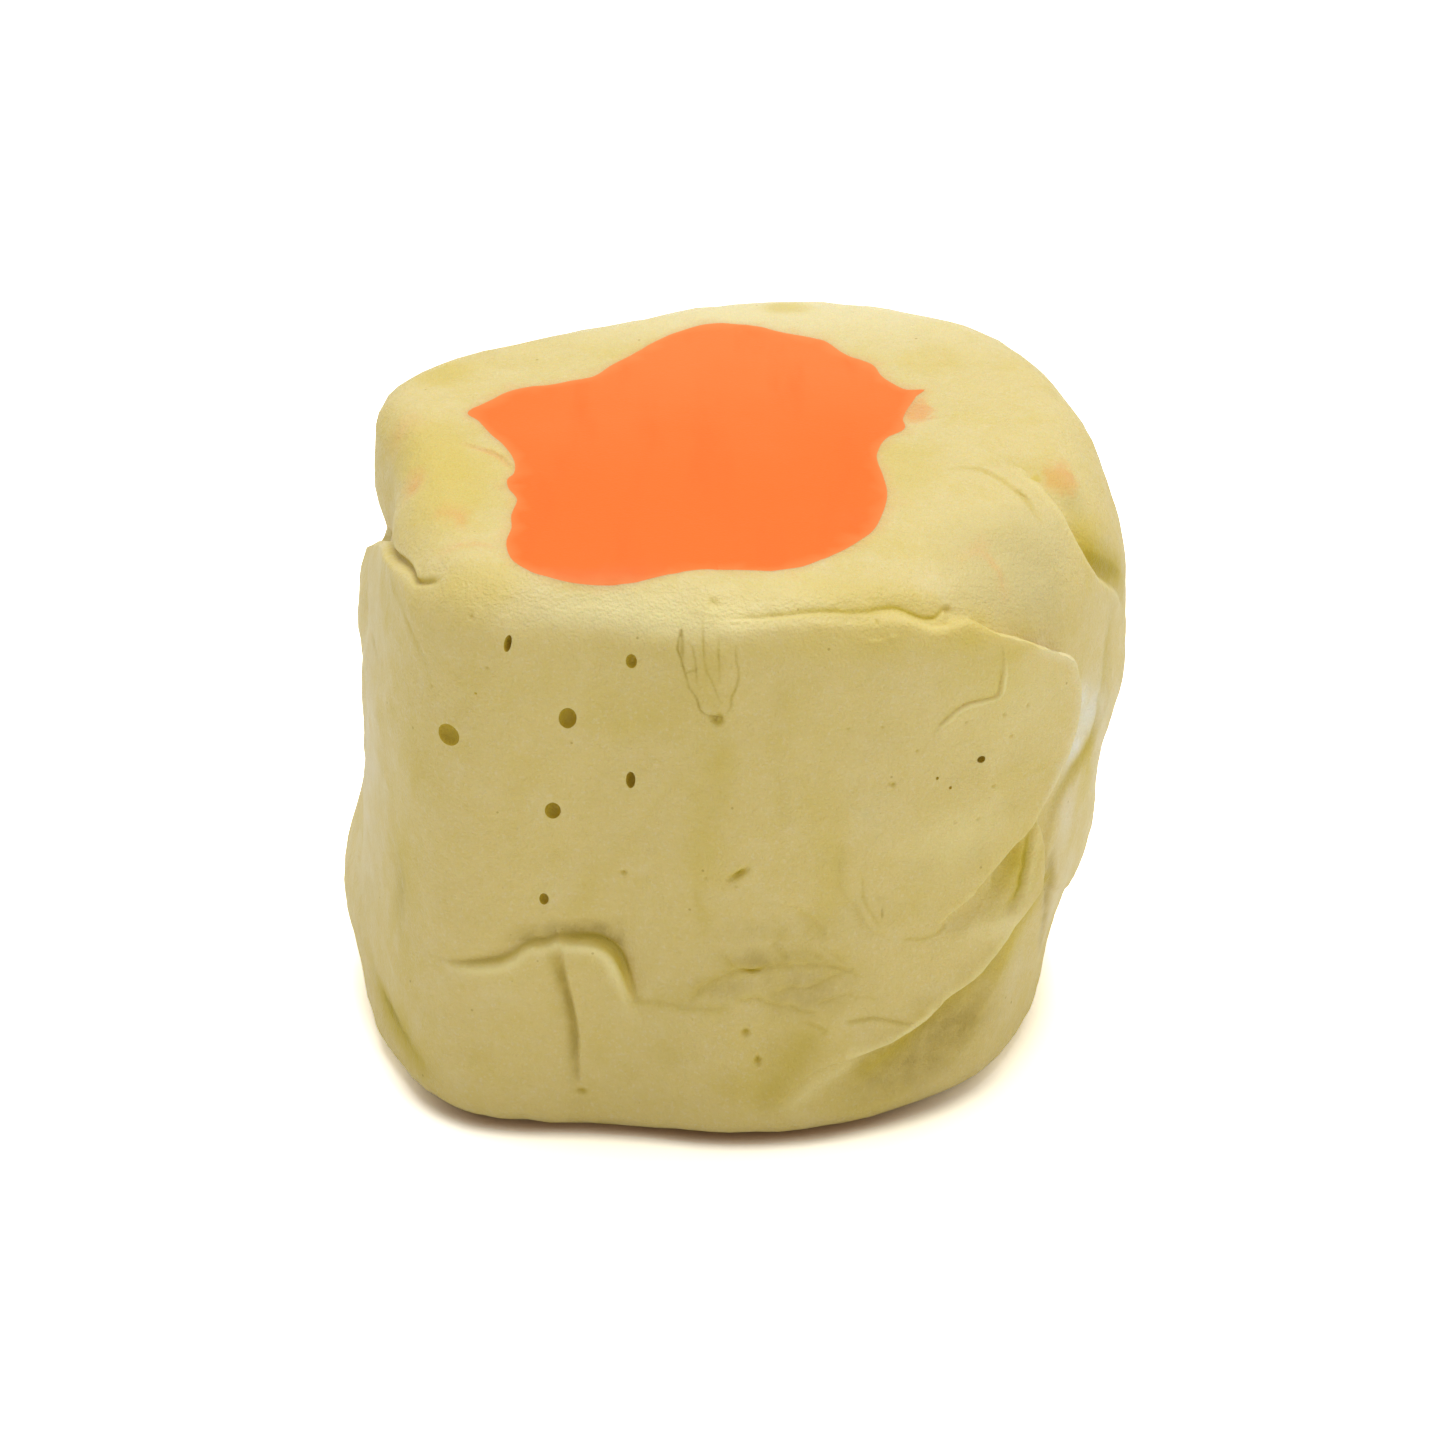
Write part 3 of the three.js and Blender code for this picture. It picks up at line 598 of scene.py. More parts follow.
             stainWide=0.5),
    # long faint creases across the front
    sideMark([(-28.5, 7.15, 0), (-25.5, 8.0, 1), (-22.2, 8.93, 0.8), (-18, 10, 1), (-14.3, 11.19, 1),
              (-10, 12.2, 0.6), (-5.2, 13.31, 0)], 0.1, 0.012, step=0.03, fade=0.6, stain=0.14,
             stainWide=0.18),
    sideMark([(-46, 12.6, 0), (-43, 13.6, 1), (-39.5, 14.9, 0.8), (-36.5, 15.8, 0)], 0.08, 0.012,
             stain=0.16, stainWide=0.12),
    sideMark([(6, 16.2, 0), (7, 14.6, 1), (6.2, 13, 0.7), (7.4, 11.4, 1), (6.8, 10, 0)], 0.12, 0.012,
             step=0.02, fade=0.7, stain=0.14, stainWide=0.2),
    # creases and ridges on the top's right
    topMark([(6.26, -1.19, 0.3), (6.6, -1.08, 0.8), (7.1, -1.14, 1), (7.6, -1.5, 1), (8.1, -1.97, 0.8)],
            0.1, 0.04, step=0.05, fade=0.5, stain=0.4, stainWide=0.12),
    topMark([(8.1, -1.97, 1), (8.35, -2.4, 1), (8.55, -2.8, 0.8), (8.74, -3.2, 0.3)], 0.09, 0.05, stain=0.4,
            stainWide=0.12),
    topMark([(6.4, -4.7, 0), (7.0, -4.4, 1), (7.8, -3.95, 1), (8.7, -3.25, 0)], 0.35, -0.1),
    topMark([(7.3, -4.9, 0), (7.9, -5.0, 1), (8.5, -4.9, 1), (9.1, -4.4, 0)], 0.5, 0.1),
    # creases on the hidden side
    sideMark([(112, 4.2, 0), (120, 4.6, 0.6), (132, 5.3, 1), (146, 5.1, 1), (158, 5.7, 1), (168, 5.3, 0.6),
              (175, 5.2, 0)], 0.08, 0.16, soft=0.3, step=0.18, fade=1.2, stain=0.6, stainWide=0.12,
             ridge=0.5),
    sideMark([(-176, 9.2, 0), (-170, 9.8, 0.7), (-160, 10.6, 1), (-150, 11.8, 1), (-141, 12.6, 0.8),
              (-134, 13.9, 0)], 0.1, 0.12, soft=0.25, step=0.14, fade=1.2, stain=0.5, stainWide=0.12,
             ridge=0.5),
    sideMark([(138, 15.9, 0), (136, 14.6, 1), (137, 13.2, 0.8), (140, 11.9, 0)], 0.12, 0.08, step=0.05,
             fade=0.6, stain=0.4, shade=0.5),
    sideMark([(-132, 3.0, 0), (-140, 3.6, 1), (-152, 3.3, 1), (-160, 3.9, 0)], 0.3, 0.1, stain=0.4,
             stainWide=0.35),
    # orange smears
    topMark([(6.3, -5.7, 0.2), (6.55, -5.4, 1), (6.9, -5.25, 0.8), (7.24, -5.5, 0.9), (7.5, -6.0, 0.8),
             (7.62, -6.5, 0.3)], 0.07, 0.01, smear=0.34),
    topMark([(-10.07, 1.1, 0.4), (-9.85, 1.61, 1), (-9.47, 1.78, 1), (-9.0, 1.66, 0.3)], 0.1, smear=0.4),
    topMark([(-9.43, -2.2, 0.4), (-9.4, -1.8, 1), (-9.3, -1.4, 0.4)], 0.16, 0.02, smear=0.45),
    topMark([(-8.6, -3.8, 0.3), (-8.1, -3.95, 1), (-7.97, -4.4, 1), (-7.95, -4.9, 0.3)], 0.14, 0.02,
            smear=0.35),
    topMark([(-8.5, -6.1, 0.3), (-8.02, -5.84, 1), (-7.49, -5.92, 1), (-6.9, -6.1, 0.6)], 0.1, 0.01,
            smear=0.35),
    topMark([(-8.0, 0.3, 0.3), (-7.38, -0.1, 1), (-6.95, -0.5, 1), (-6.7, -1.0, 0.8)], 0.09, 0.03, lip=0.04,
            smear=0.4),
]
# painted light and shade along the sheets' free edges: highlights and a pale lit band on their rims, shade
# under them
edgeMarks = [
    edgeMark(frontSheet["outline"][34:14:-1], 0.12, ridge=0.35, ridgeShift=0.1, ridgeWide=0.1),
    edgeMark(frontSheet["outline"][27:15:-1], 0.12, pale=0.9, stainWide=0.17, stainShift=-0.17),
    edgeMark(frontSheet["outline"][31:24:-1], 0.1, stain=0.8, stainWide=0.22, stainShift=0.2),
    edgeMark(underSheet["outline"][3:18], 0.11, ridge=0.9),
    edgeMark(underSheet["outline"][12:20], 0.1, stain=1, stainWide=0.4, stainShift=0.35),
    edgeMark(underSheet["outline"][4:16], 0.1, stain=0.75, stainWide=0.6, stainShift=0.5, shade=0.9),
]
# soft tones on the side: angle, height, half width, half height, strength
tints = {
    # yellower streaks and patches, and the deeper yellow painted as shade in the pocket and under the under
    # sheet
    "tint": [
        (-6.3, 10.0, 0.55, 2.6, 0.5), (15.2, 10.3, 0.6, 2.2, 0.5), (42.5, 8.9, 1.6, 1.1, 0.35),
        (38, 7.6, 1.6, 0.8, 0.3), (-55.4, 7.8, 0.8, 1.6, 0.9), (-58, 5.7, 0.7, 1.2, 0.4),
        (-3.4, 12.6, 0.6, 1.3, 0.5), (-5.2, 15.8, 0.7, 1.0, 0.35), (44, 14.4, 1.3, 0.7, 0.5),
        (25, 16.3, 2.4, 0.5, 0.5), (13, 16.5, 1.4, 0.5, 0.4), (-30, 14.8, 1.2, 0.6, 0.25),
        (51, 4.6, 0.8, 1.0, 1), (49.3, 4.4, 0.8, 0.8, 1), (50.5, 7.8, 0.8, 0.7, 1),
        (47, 7.2, 0.9, 0.5, 0.8), (69.3, 9.0, 0.5, 1.5, 1), (47, 15.2, 1.1, 0.35, 0.9),
        (38, 16.0, 1.0, 0.4, 0.8), (-56.5, 2.0, 1.2, 0.7, 1), (51.5, 5.3, 0.5, 0.9, 1),
        (40, 3.6, 1.2, 0.5, 0.6),
    ],
    "shade": [
        (4.5, 6.25, 1.2, 0.45, 0.75), (2.6, 7.3, 0.9, 0.4, 0.35), (12, 5.2, 1.5, 0.8, 0.55),
        (-3, 5.4, 1.1, 0.4, 0.45), (-56, 6.7, 0.6, 1.1, 0.4), (37.9, 2.8, 1.9, 0.9, 1),
        (30, 1.8, 1.9, 0.7, 0.9), (9, 3.4, 0.7, 0.5, 0.3), (31.5, 2.2, 1.3, 0.7, 0.8),
    ],
    # painted light on lit surfaces: the bulge on the right, the left edge and the under sheet's rim among
    # them
    "pale": [
        (62, 8.4, 0.7, 2.0, 0.9), (66, 5.4, 0.9, 1.8, 0.8), (74, 9.5, 1.4, 3.5, 0.7),
        (80, 14, 1.5, 1.5, 0.4), (20, 12, 1.5, 2.0, 0.15), (-76, 9.5, 1.6, 5.0, 0.9),
        (50.5, 6.0, 0.9, 0.35, 0.9), (54, 3.6, 0.7, 1.3, 0.7),
    ],
    # whitish patches on the right, and a painted highlight along the front rim
    "white": [
        (69.5, 11.0, 0.95, 0.8, 1), (65.5, 10.4, 0.75, 0.5, 1), (66, 11.8, 0.6, 0.6, 0.9),
        (-18, 17.0, 3.0, 0.38, 0.28),
    ],
    # painted highlights along the front rim and on lit ridges and sheet surfaces
    "ridge": [
        (-24, 17.0, 2.1, 0.4, 0.8), (-14, 17.05, 2.1, 0.45, 1), (-3, 17.15, 1.9, 0.42, 0.9),
        (8, 17.3, 1.6, 0.3, 0.5), (38, 9.6, 1.7, 1.2, 0.5), (47, 13.6, 2.6, 2.0, 0.35),
        (-33, 16.9, 1.5, 0.35, 0.25), (46, 6.0, 1.2, 0.4, 0.6),
    ],
}
# dimples and specks: angle, height, half their width and height, how deep, how darkly painted (painted
# shade in a dimple, the dark colour of a speck)
dimples = [
    (1.2, 3.91, 0.13, 0.13, 0.13, 0.8), (3.3, 2.89, 0.11, 0.16, 0.14, 0.85),
    (-26.6, 1.46, 0.16, 0.1, 0.12, 0.8), (-19.4, 8.94, 0.1, 0.08, 0.09, 0.7),
    (37.9, 16.55, 0.14, 0.1, 0.1, 0.5), (-4.6, 17.42, 0.2, 0.08, 0.05, 0.7),
    (26.0, 16.41, 0.12, 0.08, -0.05, 0), (23.0, 16.35, 0.2, 0.07, -0.05, 0),
    (-3.8, 14.25, 0.12, 0.12, 0.1, 0.4), (12.8, 7.4, 0.5, 0.35, 0.03, 0.3), (7.0, 7.1, 0.4, 0.3, 0.03, 0.3),
    (-12, 4.9, 0.8, 0.4, 0.02, 0.25), (-1, 2.0, 0.8, 0.5, 0.02, 0.3), (-12, 3, 0.6, 0.4, 0.0, 0.2),
    (-40, 2.6, 0.4, 0.3, 0.0, 0.25), (25.3, 11.83, 0.07, 0.07, 0.06, 0.8),
    (24.7, 11.87, 0.05, 0.05, 0.04, 0.6), (35.8, 10.2, 0.05, 0.05, 0.04, 0.7),
    (39.8, 10.1, 0.05, 0.05, 0.04, 0.7), (42.0, 11.1, 0.06, 0.05, 0.05, 0.6),
    (29.3, 12.78, 0.05, 0.05, 0.04, 0.7), (48.1, 13.37, 0.06, 0.06, 0.05, 0.5),
    (43.7, 13.35, 0.06, 0.06, 0.05, 0.5), (45.3, 12.54, 0.06, 0.06, 0.05, 0.5),
    (37.2, 13.43, 0.05, 0.05, 0.04, 0.5), (18.1, 13.77, 0.06, 0.05, 0.04, 0.5),
    (23.8, 13.68, 0.05, 0.05, 0.04, 0.5), (24.2, 16.78, 0.05, 0.05, 0.04, 0.5),
    (-42.2, 16.76, 0.05, 0.05, 0.04, 0.5), (-38.8, 15.39, 0.05, 0.05, 0.04, 0.5),
    (-48.2, 14.24, 0.05, 0.05, 0.03, 0.4), (-0.4, 8.8, 0.05, 0.05, 0.04, 0.4),
    (-5.4, 9.04, 0.05, 0.05, 0.04, 0.4),
]


fineness = {
    "voxel": 0.08,
    # three sizes of lumps and how high they stand
    "lumps": [(4.5, 0.3), (1.4, 0.1), (0.5, 0.03)],
    # narrow marks deeper than this get fine faces this far round them, as far back as this y
    "narrow": 0.25,
    "deeperThan": 0.015,
    "nearMark": 0.3,
    "nearerThan": 5,
    # how many faces stay, and how firmly those of the top, the front and the rest are kept
    "faces": 190000,
    "keepTop": 0.5,
    "keepFront": 0.9,
    "keepRest": 0.3,
}


def lumpsOver(piece, size, strength):
    texture = bpy.data.textures.new("lumps", "CLOUDS")
    texture.noise_scale = size
    texture.noise_depth = 2
    useModifier(piece, "DISPLACE", texture=texture, strength=strength, mid_level=0.5)


# Where points lie on the side: along it from the front and up it, in mm
def onSide(points):
    return np.stack([np.degrees(np.arctan2(points[:, 0], -points[:, 1])) * perDegree, points[:, 2]], -1)


# The points near a mark: which they are, their distance, their side and how strong the mark is there
def nearMark(points, mark, reach):
    run = np.array(mark["points"], float)
    if mark["on"] == "side":
        run[:, 0] *= perDegree
        places = onSide(points)
        size = 2
    else:
        if mark["on"] == "top":
            run = np.column_stack([run[:, :2], topHeight(run[:, 0], run[:, 1]), run[:, 2:]])
        places = points
        size = 3
    run = smoothRun(run, 5)
    line = run[:, :size]
    inside = ((places > line.min(0) - reach) & (places < line.max(0) + reach)).all(1)
    if size == 2:
        inside &= np.hypot(points[:, 0], points[:, 1]) > sideStart
    near = np.flatnonzero(inside)
    places = places[near]
    if size == 3:
        # depth along the way that the surface faces doesn't count
        facing = np.array(mark.get("facing", (0, 0, 1.0)))
        line = line - np.outer(line @ facing, facing)
        places = places - np.outer(places @ facing, facing)
        distance, along, side = toRun(places, line, np.tile(facing, (len(near), 1)))
    else:
        distance, along, side = toRun(places, line)
    if run.shape[1] > size:
        strength = 0
        total = 0
        for sample, value in zip(line, np.clip(run[:, size], 0, None)):
            weight = 1 / (((places - sample) ** 2).sum(1) + 0.02) ** 2
            strength = strength + weight * value
            total = total + weight
        strength = strength / total
    else:
        strength = smoothStep(along, 0, 0.15) * (1 - smoothStep(along, 0.85, 1))
    return near, distance, side, strength


# Which points lie close to a mark that needs fine faces: a narrow one on the camera's side
def nearMarks(points):
    reach = fineness["nearMark"]
    close = np.zeros(len(points), bool)
    for mark in marks:
        if mark["wide"] < fineness["narrow"] and abs(mark["deep"]) > fineness["deeperThan"]:
            near, distance, _, _ = nearMark(points, mark, 1.2)
            close[near] |= distance < reach + mark["wide"]
    close &= points[:, 1] < fineness["nearerThan"]
    places = onSide(points)
    for angle, height, halfWide, *_ in dimples:
        if halfWide < reach:
            close |= np.hypot(*(places - [angle * perDegree, height]).T) < reach
    return close


def pressMarks(piece):
    points = getPoints(piece)
    normals = np.empty(points.size)
    piece.data.vertex_normals.foreach_get("vector", normals)
    normals = normals.reshape(-1, 3)
    push = np.zeros(len(points))
    for mark in marks:
        near, distance, side, strength = nearMark(points, mark, 3)
        wide = mark["wide"]
        left = side > 0
        valley = np.exp(-((distance / wide) ** 2))
        if "soft" in mark:
            valley = np.where(left, valley, np.exp(-distance / mark["soft"]))
        shape = -mark["deep"] * valley
        shape += mark.get("lip", 0) * np.exp(-(((distance - 1.6 * wide) / wide) ** 2)) * left
        across = 0.5 + 0.5 * np.tanh(1.5 * side * distance / wide)
        shape += mark.get("step", 0) * across * np.exp(-((distance / mark.get("fade", 1)) ** 2))
        push[near] += shape * strength
    places = onSide(points)
    outside = np.hypot(points[:, 0], points[:, 1]) > sideStart
    for angle, height, halfWide, halfHigh, deep, _ in dimples:
        off = (places - [angle * perDegree, height]) / [halfWide, halfHigh]
        push -= deep * np.exp(-(off**2).sum(1)) * outside
    points += normals * push[:, None]
    points[:, 2] = np.maximum(points[:, 2], 0)
    setPoints(piece, points)


# The orange centre's outline on the top, and how far it shifts down to the foot
core = {
    "outline": [
        (-7.94, 2.13), (-7.58, 1.61), (-7.25, 0.93), (-6.76, 0.07), (-6.51, -0.77), (-6.5, -1.45),
        (-6.69, -1.87), (-6.64, -2.45), (-6.43, -2.95), (-6.39, -3.29), (-6.53, -4.11), (-6.51, -4.89),
        (-6.63, -5.67), (-6.6, -6.29), (-6.39, -6.91), (-6.0, -7.37), (-5.54, -7.62), (-4.85, -7.82),
        (-4.09, -7.92), (-3.33, -7.9), (-2.57, -7.78), (-1.81, -7.62), (-1.05, -7.39), (-0.29, -7.36),
        (0.75, -7.39), (1.31, -7.2), (1.88, -6.94), (2.45, -6.53), (2.89, -6.14), (3.17, -5.83),
        (3.61, -5.22), (3.94, -4.62), (4.16, -3.83), (4.28, -3.11), (4.29, -2.53), (4.19, -1.79),
        (4.06, -1.04), (4.03, -0.43), (4.19, 0.34), (4.41, 0.81), (4.78, 1.13), (4.89, 1.45), (4.83, 1.92),
        (4.95, 2.55), (5.1, 3.03), (5.26, 3.51), (5.49, 3.91), (4.97, 3.91), (4.61, 4.23), (4.25, 4.79),
        (4.04, 5.44), (3.75, 5.76), (3.17, 6.25), (2.65, 6.91), (2.29, 7.15), (1.55, 7.48), (1.03, 7.73),
        (0.58, 7.98), (-0.04, 8.09), (-0.68, 8.09), (-1.48, 7.73), (-2.28, 7.02), (-3.07, 6.13),
        (-3.7, 5.43), (-4.24, 4.73), (-4.87, 4.38), (-5.42, 4.12), (-6.21, 3.86), (-6.83, 3.51),
        (-7.3, 2.99), (-7.6, 2.64),
    ],
    "lean": (-0.7, 0.1),
}


# The centre's outline at a height
def coreRun(z):
    share = 1 - z / form["height"]
    return smoothRun(core["outline"], 4, closed=True) + share * np.array(core["lean"])


def addCoreCutter():
    low, high = -1, 19
    outline = coreRun(low)
    bpy.ops.object.select_all(action="DESELECT")
    bpy.ops.mesh.primitive_circle_add(vertices=len(outline), radius=1, fill_type="NGON")
    piece = bpy.context.object
    piece.name = "coreCutter"
    setPoints(piece, np.column_stack([outline, np.full(len(outline), low)]))
    slide = (high - low) / form["height"] * np.array(core["lean"])
    bpy.ops.object.mode_set(mode="EDIT")
    bpy.ops.mesh.select_all(action="SELECT")
    bpy.ops.mesh.extrude_region_move(TRANSFORM_OT_translate={"value": (-slide[0], -slide[1], high - low)})
    faceOutwards()
    return piece


# Open bubbles: angle, height, half their width and height, how proud the surface stands there
bubbles = [
    (-44.2, 13.0, 0.4, 0.34, 0), (-28, 13.9, 0.25, 0.33, 0), (-18.2, 15.8, 0.17, 0.23, 0),
    (-36.2, 16.2, 0.1, 0.25, 0), (-18.2, 12.0, 0.14, 0.26, 0), (-30, 10.9, 0.22, 0.27, 0),
    (-31.2, 8.0, 0.13, 0.19, 0), (39.9, 12.1, 0.14, 0.13, 0.35), (20.8, 10.97, 0.1, 0.1, 0.12),
    (22.9, 10.21, 0.07, 0.07, 0.1), (-40.2, 14.53, 0.06, 0.05, 0), (-38, 13.79, 0.05, 0.05, 0),
    (34.9, 11.37, 0.05, 0.05, 0.3), (32.7, 11.77, 0.05, 0.05, 0.28), (53.6, 10.85, 0.07, 0.06, 0.5),
    (151, 12.4, 0.3, 0.26, 0), (171, 8.3, 0.18, 0.24, 0), (-152, 14.6, 0.2, 0.26, 0),
    (-128, 10.1, 0.15, 0.2, 0), (-166, 6.2, 0.24, 0.2, 0), (124, 8.4, 0.14, 0.18, 0),
    (-175, 13.4, 0.1, 0.12, 0),
]
bubbleDepth = 0.3  # mm, or less in a small one


# A bubble's middle, its turn round the piece and its half sizes
def bubbleShape(angle, height, halfWide, halfHigh, proud):
    middle = besideSide(np.array([angle]), np.array([height]), np.array([proud]))[0]
    return middle, math.radians(angle), (halfWide, min(bubbleDepth, 1.1 * halfHigh), halfHigh)


def addBubbles():
    added = []
    for bubble in bubbles:
        middle, turn, sizes = bubbleShape(*bubble)
        bpy.ops.object.select_all(action="DESELECT")
        bpy.ops.mesh.primitive_ico_sphere_add(subdivisions=3, radius=1, location=middle,
                                              rotation=(0, 0, turn), scale=sizes)
        added.append(bpy.context.object)
    workOn(*added)
    bpy.ops.object.join()
    bpy.ops.object.transform_apply()
    piece = bpy.context.object
    piece.name = "bubbles"
    return piece


def cutRuns(piece, runs):
    for name, points in runs.items():
        cutter = addCutter(name, points)
        useBoolean(piece, cutter, "DIFFERENCE")
        removePiece(cutter)
        print("cut", name, len(piece.data.polygons))


blank = addBlank()
cutRuns(blank, hollows)
for name, sheet in (("backSheet", backSheet), ("underSheet", underSheet), ("frontSheet", frontSheet),
                    ("leftPanel", leftPanel)):
    added = addSheet(name, sheet)
    useBoolean(blank, added, "UNION")
    removePiece(added)
    print("added", name, len(blank.data.polygons))
cutRuns(blank, slits)
useModifier(blank, "REMESH", mode="VOXEL", voxel_size=fineness["voxel"])
useModifier(blank, "SMOOTH", factor=0.5, iterations=2)
print("remeshed", len(blank.data.polygons))
for size, strength in fineness["lumps"]:
    lumpsOver(blank, size, strength)

# finer faces along the marks, then the marks themselves
nearby = nearMarks(getPoints(blank))
workOn(blank)
bpy.ops.object.mode_set(mode="EDIT")
selectWhere(blank, "faces", lambda f: all(nearby[v.index] for v in f.verts))
bpy.ops.mesh.subdivide()
bpy.ops.object.mode_set(mode="OBJECT")
print("refined", len(blank.data.polygons))
pressMarks(blank)

# fewer faces: the marks keep theirs, the camera's side most of them, and the back and the foot few
points = getPoints(blank)
angle = np.degrees(np.arctan2(points[:, 0], -points[:, 1]))
keep = fineness["keepFront"] * (1 - smoothStep(np.abs(angle - 5), 85, 115))
keep *= smoothStep(points[:, 2], 0.1, 0.6)
keep = np.maximum(keep, fineness["keepRest"] * (points[:, 2] > 0.6))
keep[(points[:, 2] > 17) & (np.hypot(points[:, 0], points[:, 1]) < 9)] = fineness["keepTop"]
keep[nearMarks(points)] = 1
group = blank.vertex_groups.new(name="keep")
for level in np.unique(np.round(keep, 1)):
    group.add(np.flatnonzero(np.round(keep, 1) == level).tolist(), float(level), "REPLACE")
useModifier(blank, "DECIMATE", ratio=fineness["faces"] / len(blank.data.polygons) / 2,
            vertex_group="keep", invert_vertex_group=True)
print("thinned", len(blank.data.polygons))

cutter = addBubbles()
useBoolean(blank, cutter, "DIFFERENCE")
removePiece(cutter)
cutter = addCoreCutter()
workOn(blank)
bpy.ops.object.duplicate()
centre = bpy.context.object
centre.name = "orangeCentre"
useBoolean(centre, cutter, "INTERSECT")
jacket = blank
jacket.name = "limeJacket"
useBoolean(jacket, cutter, "DIFFERENCE")
removePiece(cutter)
for piece in (jacket, centre):
    print("triangles", piece.name, sum(len(face.vertices) - 2 for face in piece.data.polygons))


def setValues(piece, name, values, domain="POINT"):
    attribute = piece.data.attributes.new(name, "FLOAT", domain)
    attribute.data.foreach_set("value", np.ascontiguousarray(np.clip(values, 0, 1), np.float32))


# How far points lie from the centre's outline at their own height
def toCore(points):
    share = 1 - points[:, 2] / form["height"]
    shifted = points[:, :2] - share[:, None] * np.array(core["lean"])
    run = smoothRun(core["outline"], 4, closed=True)
    distance, _, _ = toRun(shifted, np.concatenate([run, run[:1]]))
    return distance


# The faces whose every corner lies on or in a bubble
def insideBubbles(piece):
    points = getPoints(piece)
    corners = np.empty(len(piece.data.loops), int)
    piece.data.loops.foreach_get("vertex_index", corners)
    firsts = np.empty(len(piece.data.polygons), int)
    piece.data.polygons.foreach_get("loop_start", firsts)
    pitShade = np.zeros(len(firsts))
    for bubble in bubbles:
        middle, turn, sizes = bubbleShape(*bubble)
        off = (points - middle) @ np.array(Matrix.Rotation(turn, 3, "Z")) / sizes
        inside = (np.linalg.norm(off, axis=1) < 1.02).astype(float)
        pitShade = np.maximum(pitShade, np.minimum.reduceat(inside[corners], firsts))
    return pitShade


# Painted light and shade: dark yellow where creases and hollows lie in shade and under the sheets' free
# edges, pale and highlight tones where edges, bulges and the rim catch the light or a thin edge lets light
# through; besides these, the specks, dirt, orange smears and the orange bleed round the centre
def paintJacket(piece):
    points = getPoints(piece)
    places = onSide(points)
    names = ("stain", "dirt", "smear", "ridge", "shade", "tint", "pale", "white")
    masks = {name: np.zeros(len(points)) for name in names}
    for mark in marks + edgeMarks:
        near, distance, side, strength = nearMark(points, mark, 1.5)
        across = distance * side
        wide = mark["wide"]
        for name in ("stain", "dirt", "smear", "shade", "pale"):
            if name in mark:
                off = (across + mark.get("stainShift", 0)) / mark.get("stainWide", 1.4 * wide)
                masks[name][near] = np.maximum(masks[name][near], mark[name] * strength * np.exp(-(off**2)))
        if "ridge" in mark:
            off = (across - mark.get("ridgeShift", 1.6 * wide)) / mark.get("ridgeWide", wide)
            line = mark["ridge"] * strength * np.exp(-(off**2))
            masks["ridge"][near] = np.maximum(masks["ridge"][near], line)
    # painted shade in the notch over the left panel and in the hollow under the under sheet
    for cut, reach, strength in ((slits["leftNotch"], 1.2, 1), (hollows["underHollow"], 0.95, 0.7)):
        run = smoothRun(cut, 6)
        path = besideSide(run[:, 0], run[:, 1], run[:, 2])
        near = np.flatnonzero(((points > path.min(0) - 2) & (points < path.max(0) + 2)).all(1))
        distance, along, _ = toRun(points[near], path)
        radius = np.interp(along, np.linspace(0, 1, len(run)), run[:, 3])
        stained = strength * np.exp(-((distance / (reach * radius)) ** 6))
        masks["stain"][near] = np.maximum(masks["stain"][near], stained)
    # painted shade in the dimples, and the dark colour of the specks
    for angle, height, halfWide, halfHigh, _, stained in dimples:
        off = (places - [angle * perDegree, height]) / [halfWide, halfHigh]
        masks["stain"] = np.maximum(masks["stain"], stained * np.exp(-(off**2).sum(1)))
    lifted = np.hypot(points[:, 0], points[:, 1]) - sideRadius(places[:, 0] / perDegree, points[:, 2])
    for name, spots in tints.items():
        for angle, height, halfWide, halfHigh, strength in spots:
            off = (places - [angle * perDegree, height]) / [halfWide, halfHigh]
            spot = strength * np.exp(-(off**2).sum(1)) * (points[:, 2] < form["height"] - 0.1)
            # a pale spot behind the front sheet stays off it
            if name in ("white", "pale") and angle > 60:
                spot *= 1 - smoothStep(lifted, 0.36, 0.5)
            masks[name] = np.maximum(masks[name], spot)
    setValues(piece, "pitShade", insideBubbles(piece), "FACE")
    masks["bleed"] = np.exp(-((toCore(points) / 0.16) ** 2))
    for name, values in masks.items():
        setValues(piece, name, values)


paintJacket(jacket)
setValues(centre, "bleed", np.exp(-((toCore(getPoints(centre)) / 0.14) ** 2)))

# smooth shading, metres and each piece's own place
for piece, node in ((jacket, "jacket"), (centre, "centre")):
    workOn(piece)
    bpy.ops.object.shade_smooth_by_angle(angle=math.radians(40))
    points = getPoints(piece)
    points[:, 2] = np.maximum(points[:, 2], 0)
    setPoints(piece, (points - [*form["middle"], 0]) * mm)
    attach(piece, "root")
    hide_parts(node)


def addNode(tree, kind, inputs=(), **settings):
    node = tree.nodes.new(kind)
    for name, value in settings.items():
        setattr(node, name, value)
    for name, value in dict(inputs).items():
        socket = node.inputs[name]
        if isinstance(value, bpy.types.NodeSocket):
            tree.links.new(value, socket)
        else:
            socket.default_value = value
    return node


def addMaterial(name, **settings):
    material = bpy.data.materials.new(name)
    material.use_nodes = True
    tree = material.node_tree
    shader = tree.nodes["Principled BSDF"]
    for socket, value in settings.items():
        shader.inputs[socket.replace("_", " ")].default_value = value
    return material, tree, shader


def noise(tree, vector, scale, detail):
    inputs = {"Vector": vector, "Scale": scale, "Detail": detail}
    return addNode(tree, "ShaderNodeTexNoise", inputs).outputs[0]


# The strength that was painted under a name
def painted(tree, name):
    return addNode(tree, "ShaderNodeAttribute", attribute_name=name).outputs["Fac"]


# Object coordinates in millimetres
def inMillimetres(tree):
    place = addNode(tree, "ShaderNodeTexCoord").outputs["Object"]
    return addNode(tree, "ShaderNodeMapping", {"Vector": place, "Scale": (1000, 1000, 1000)}).outputs[0]


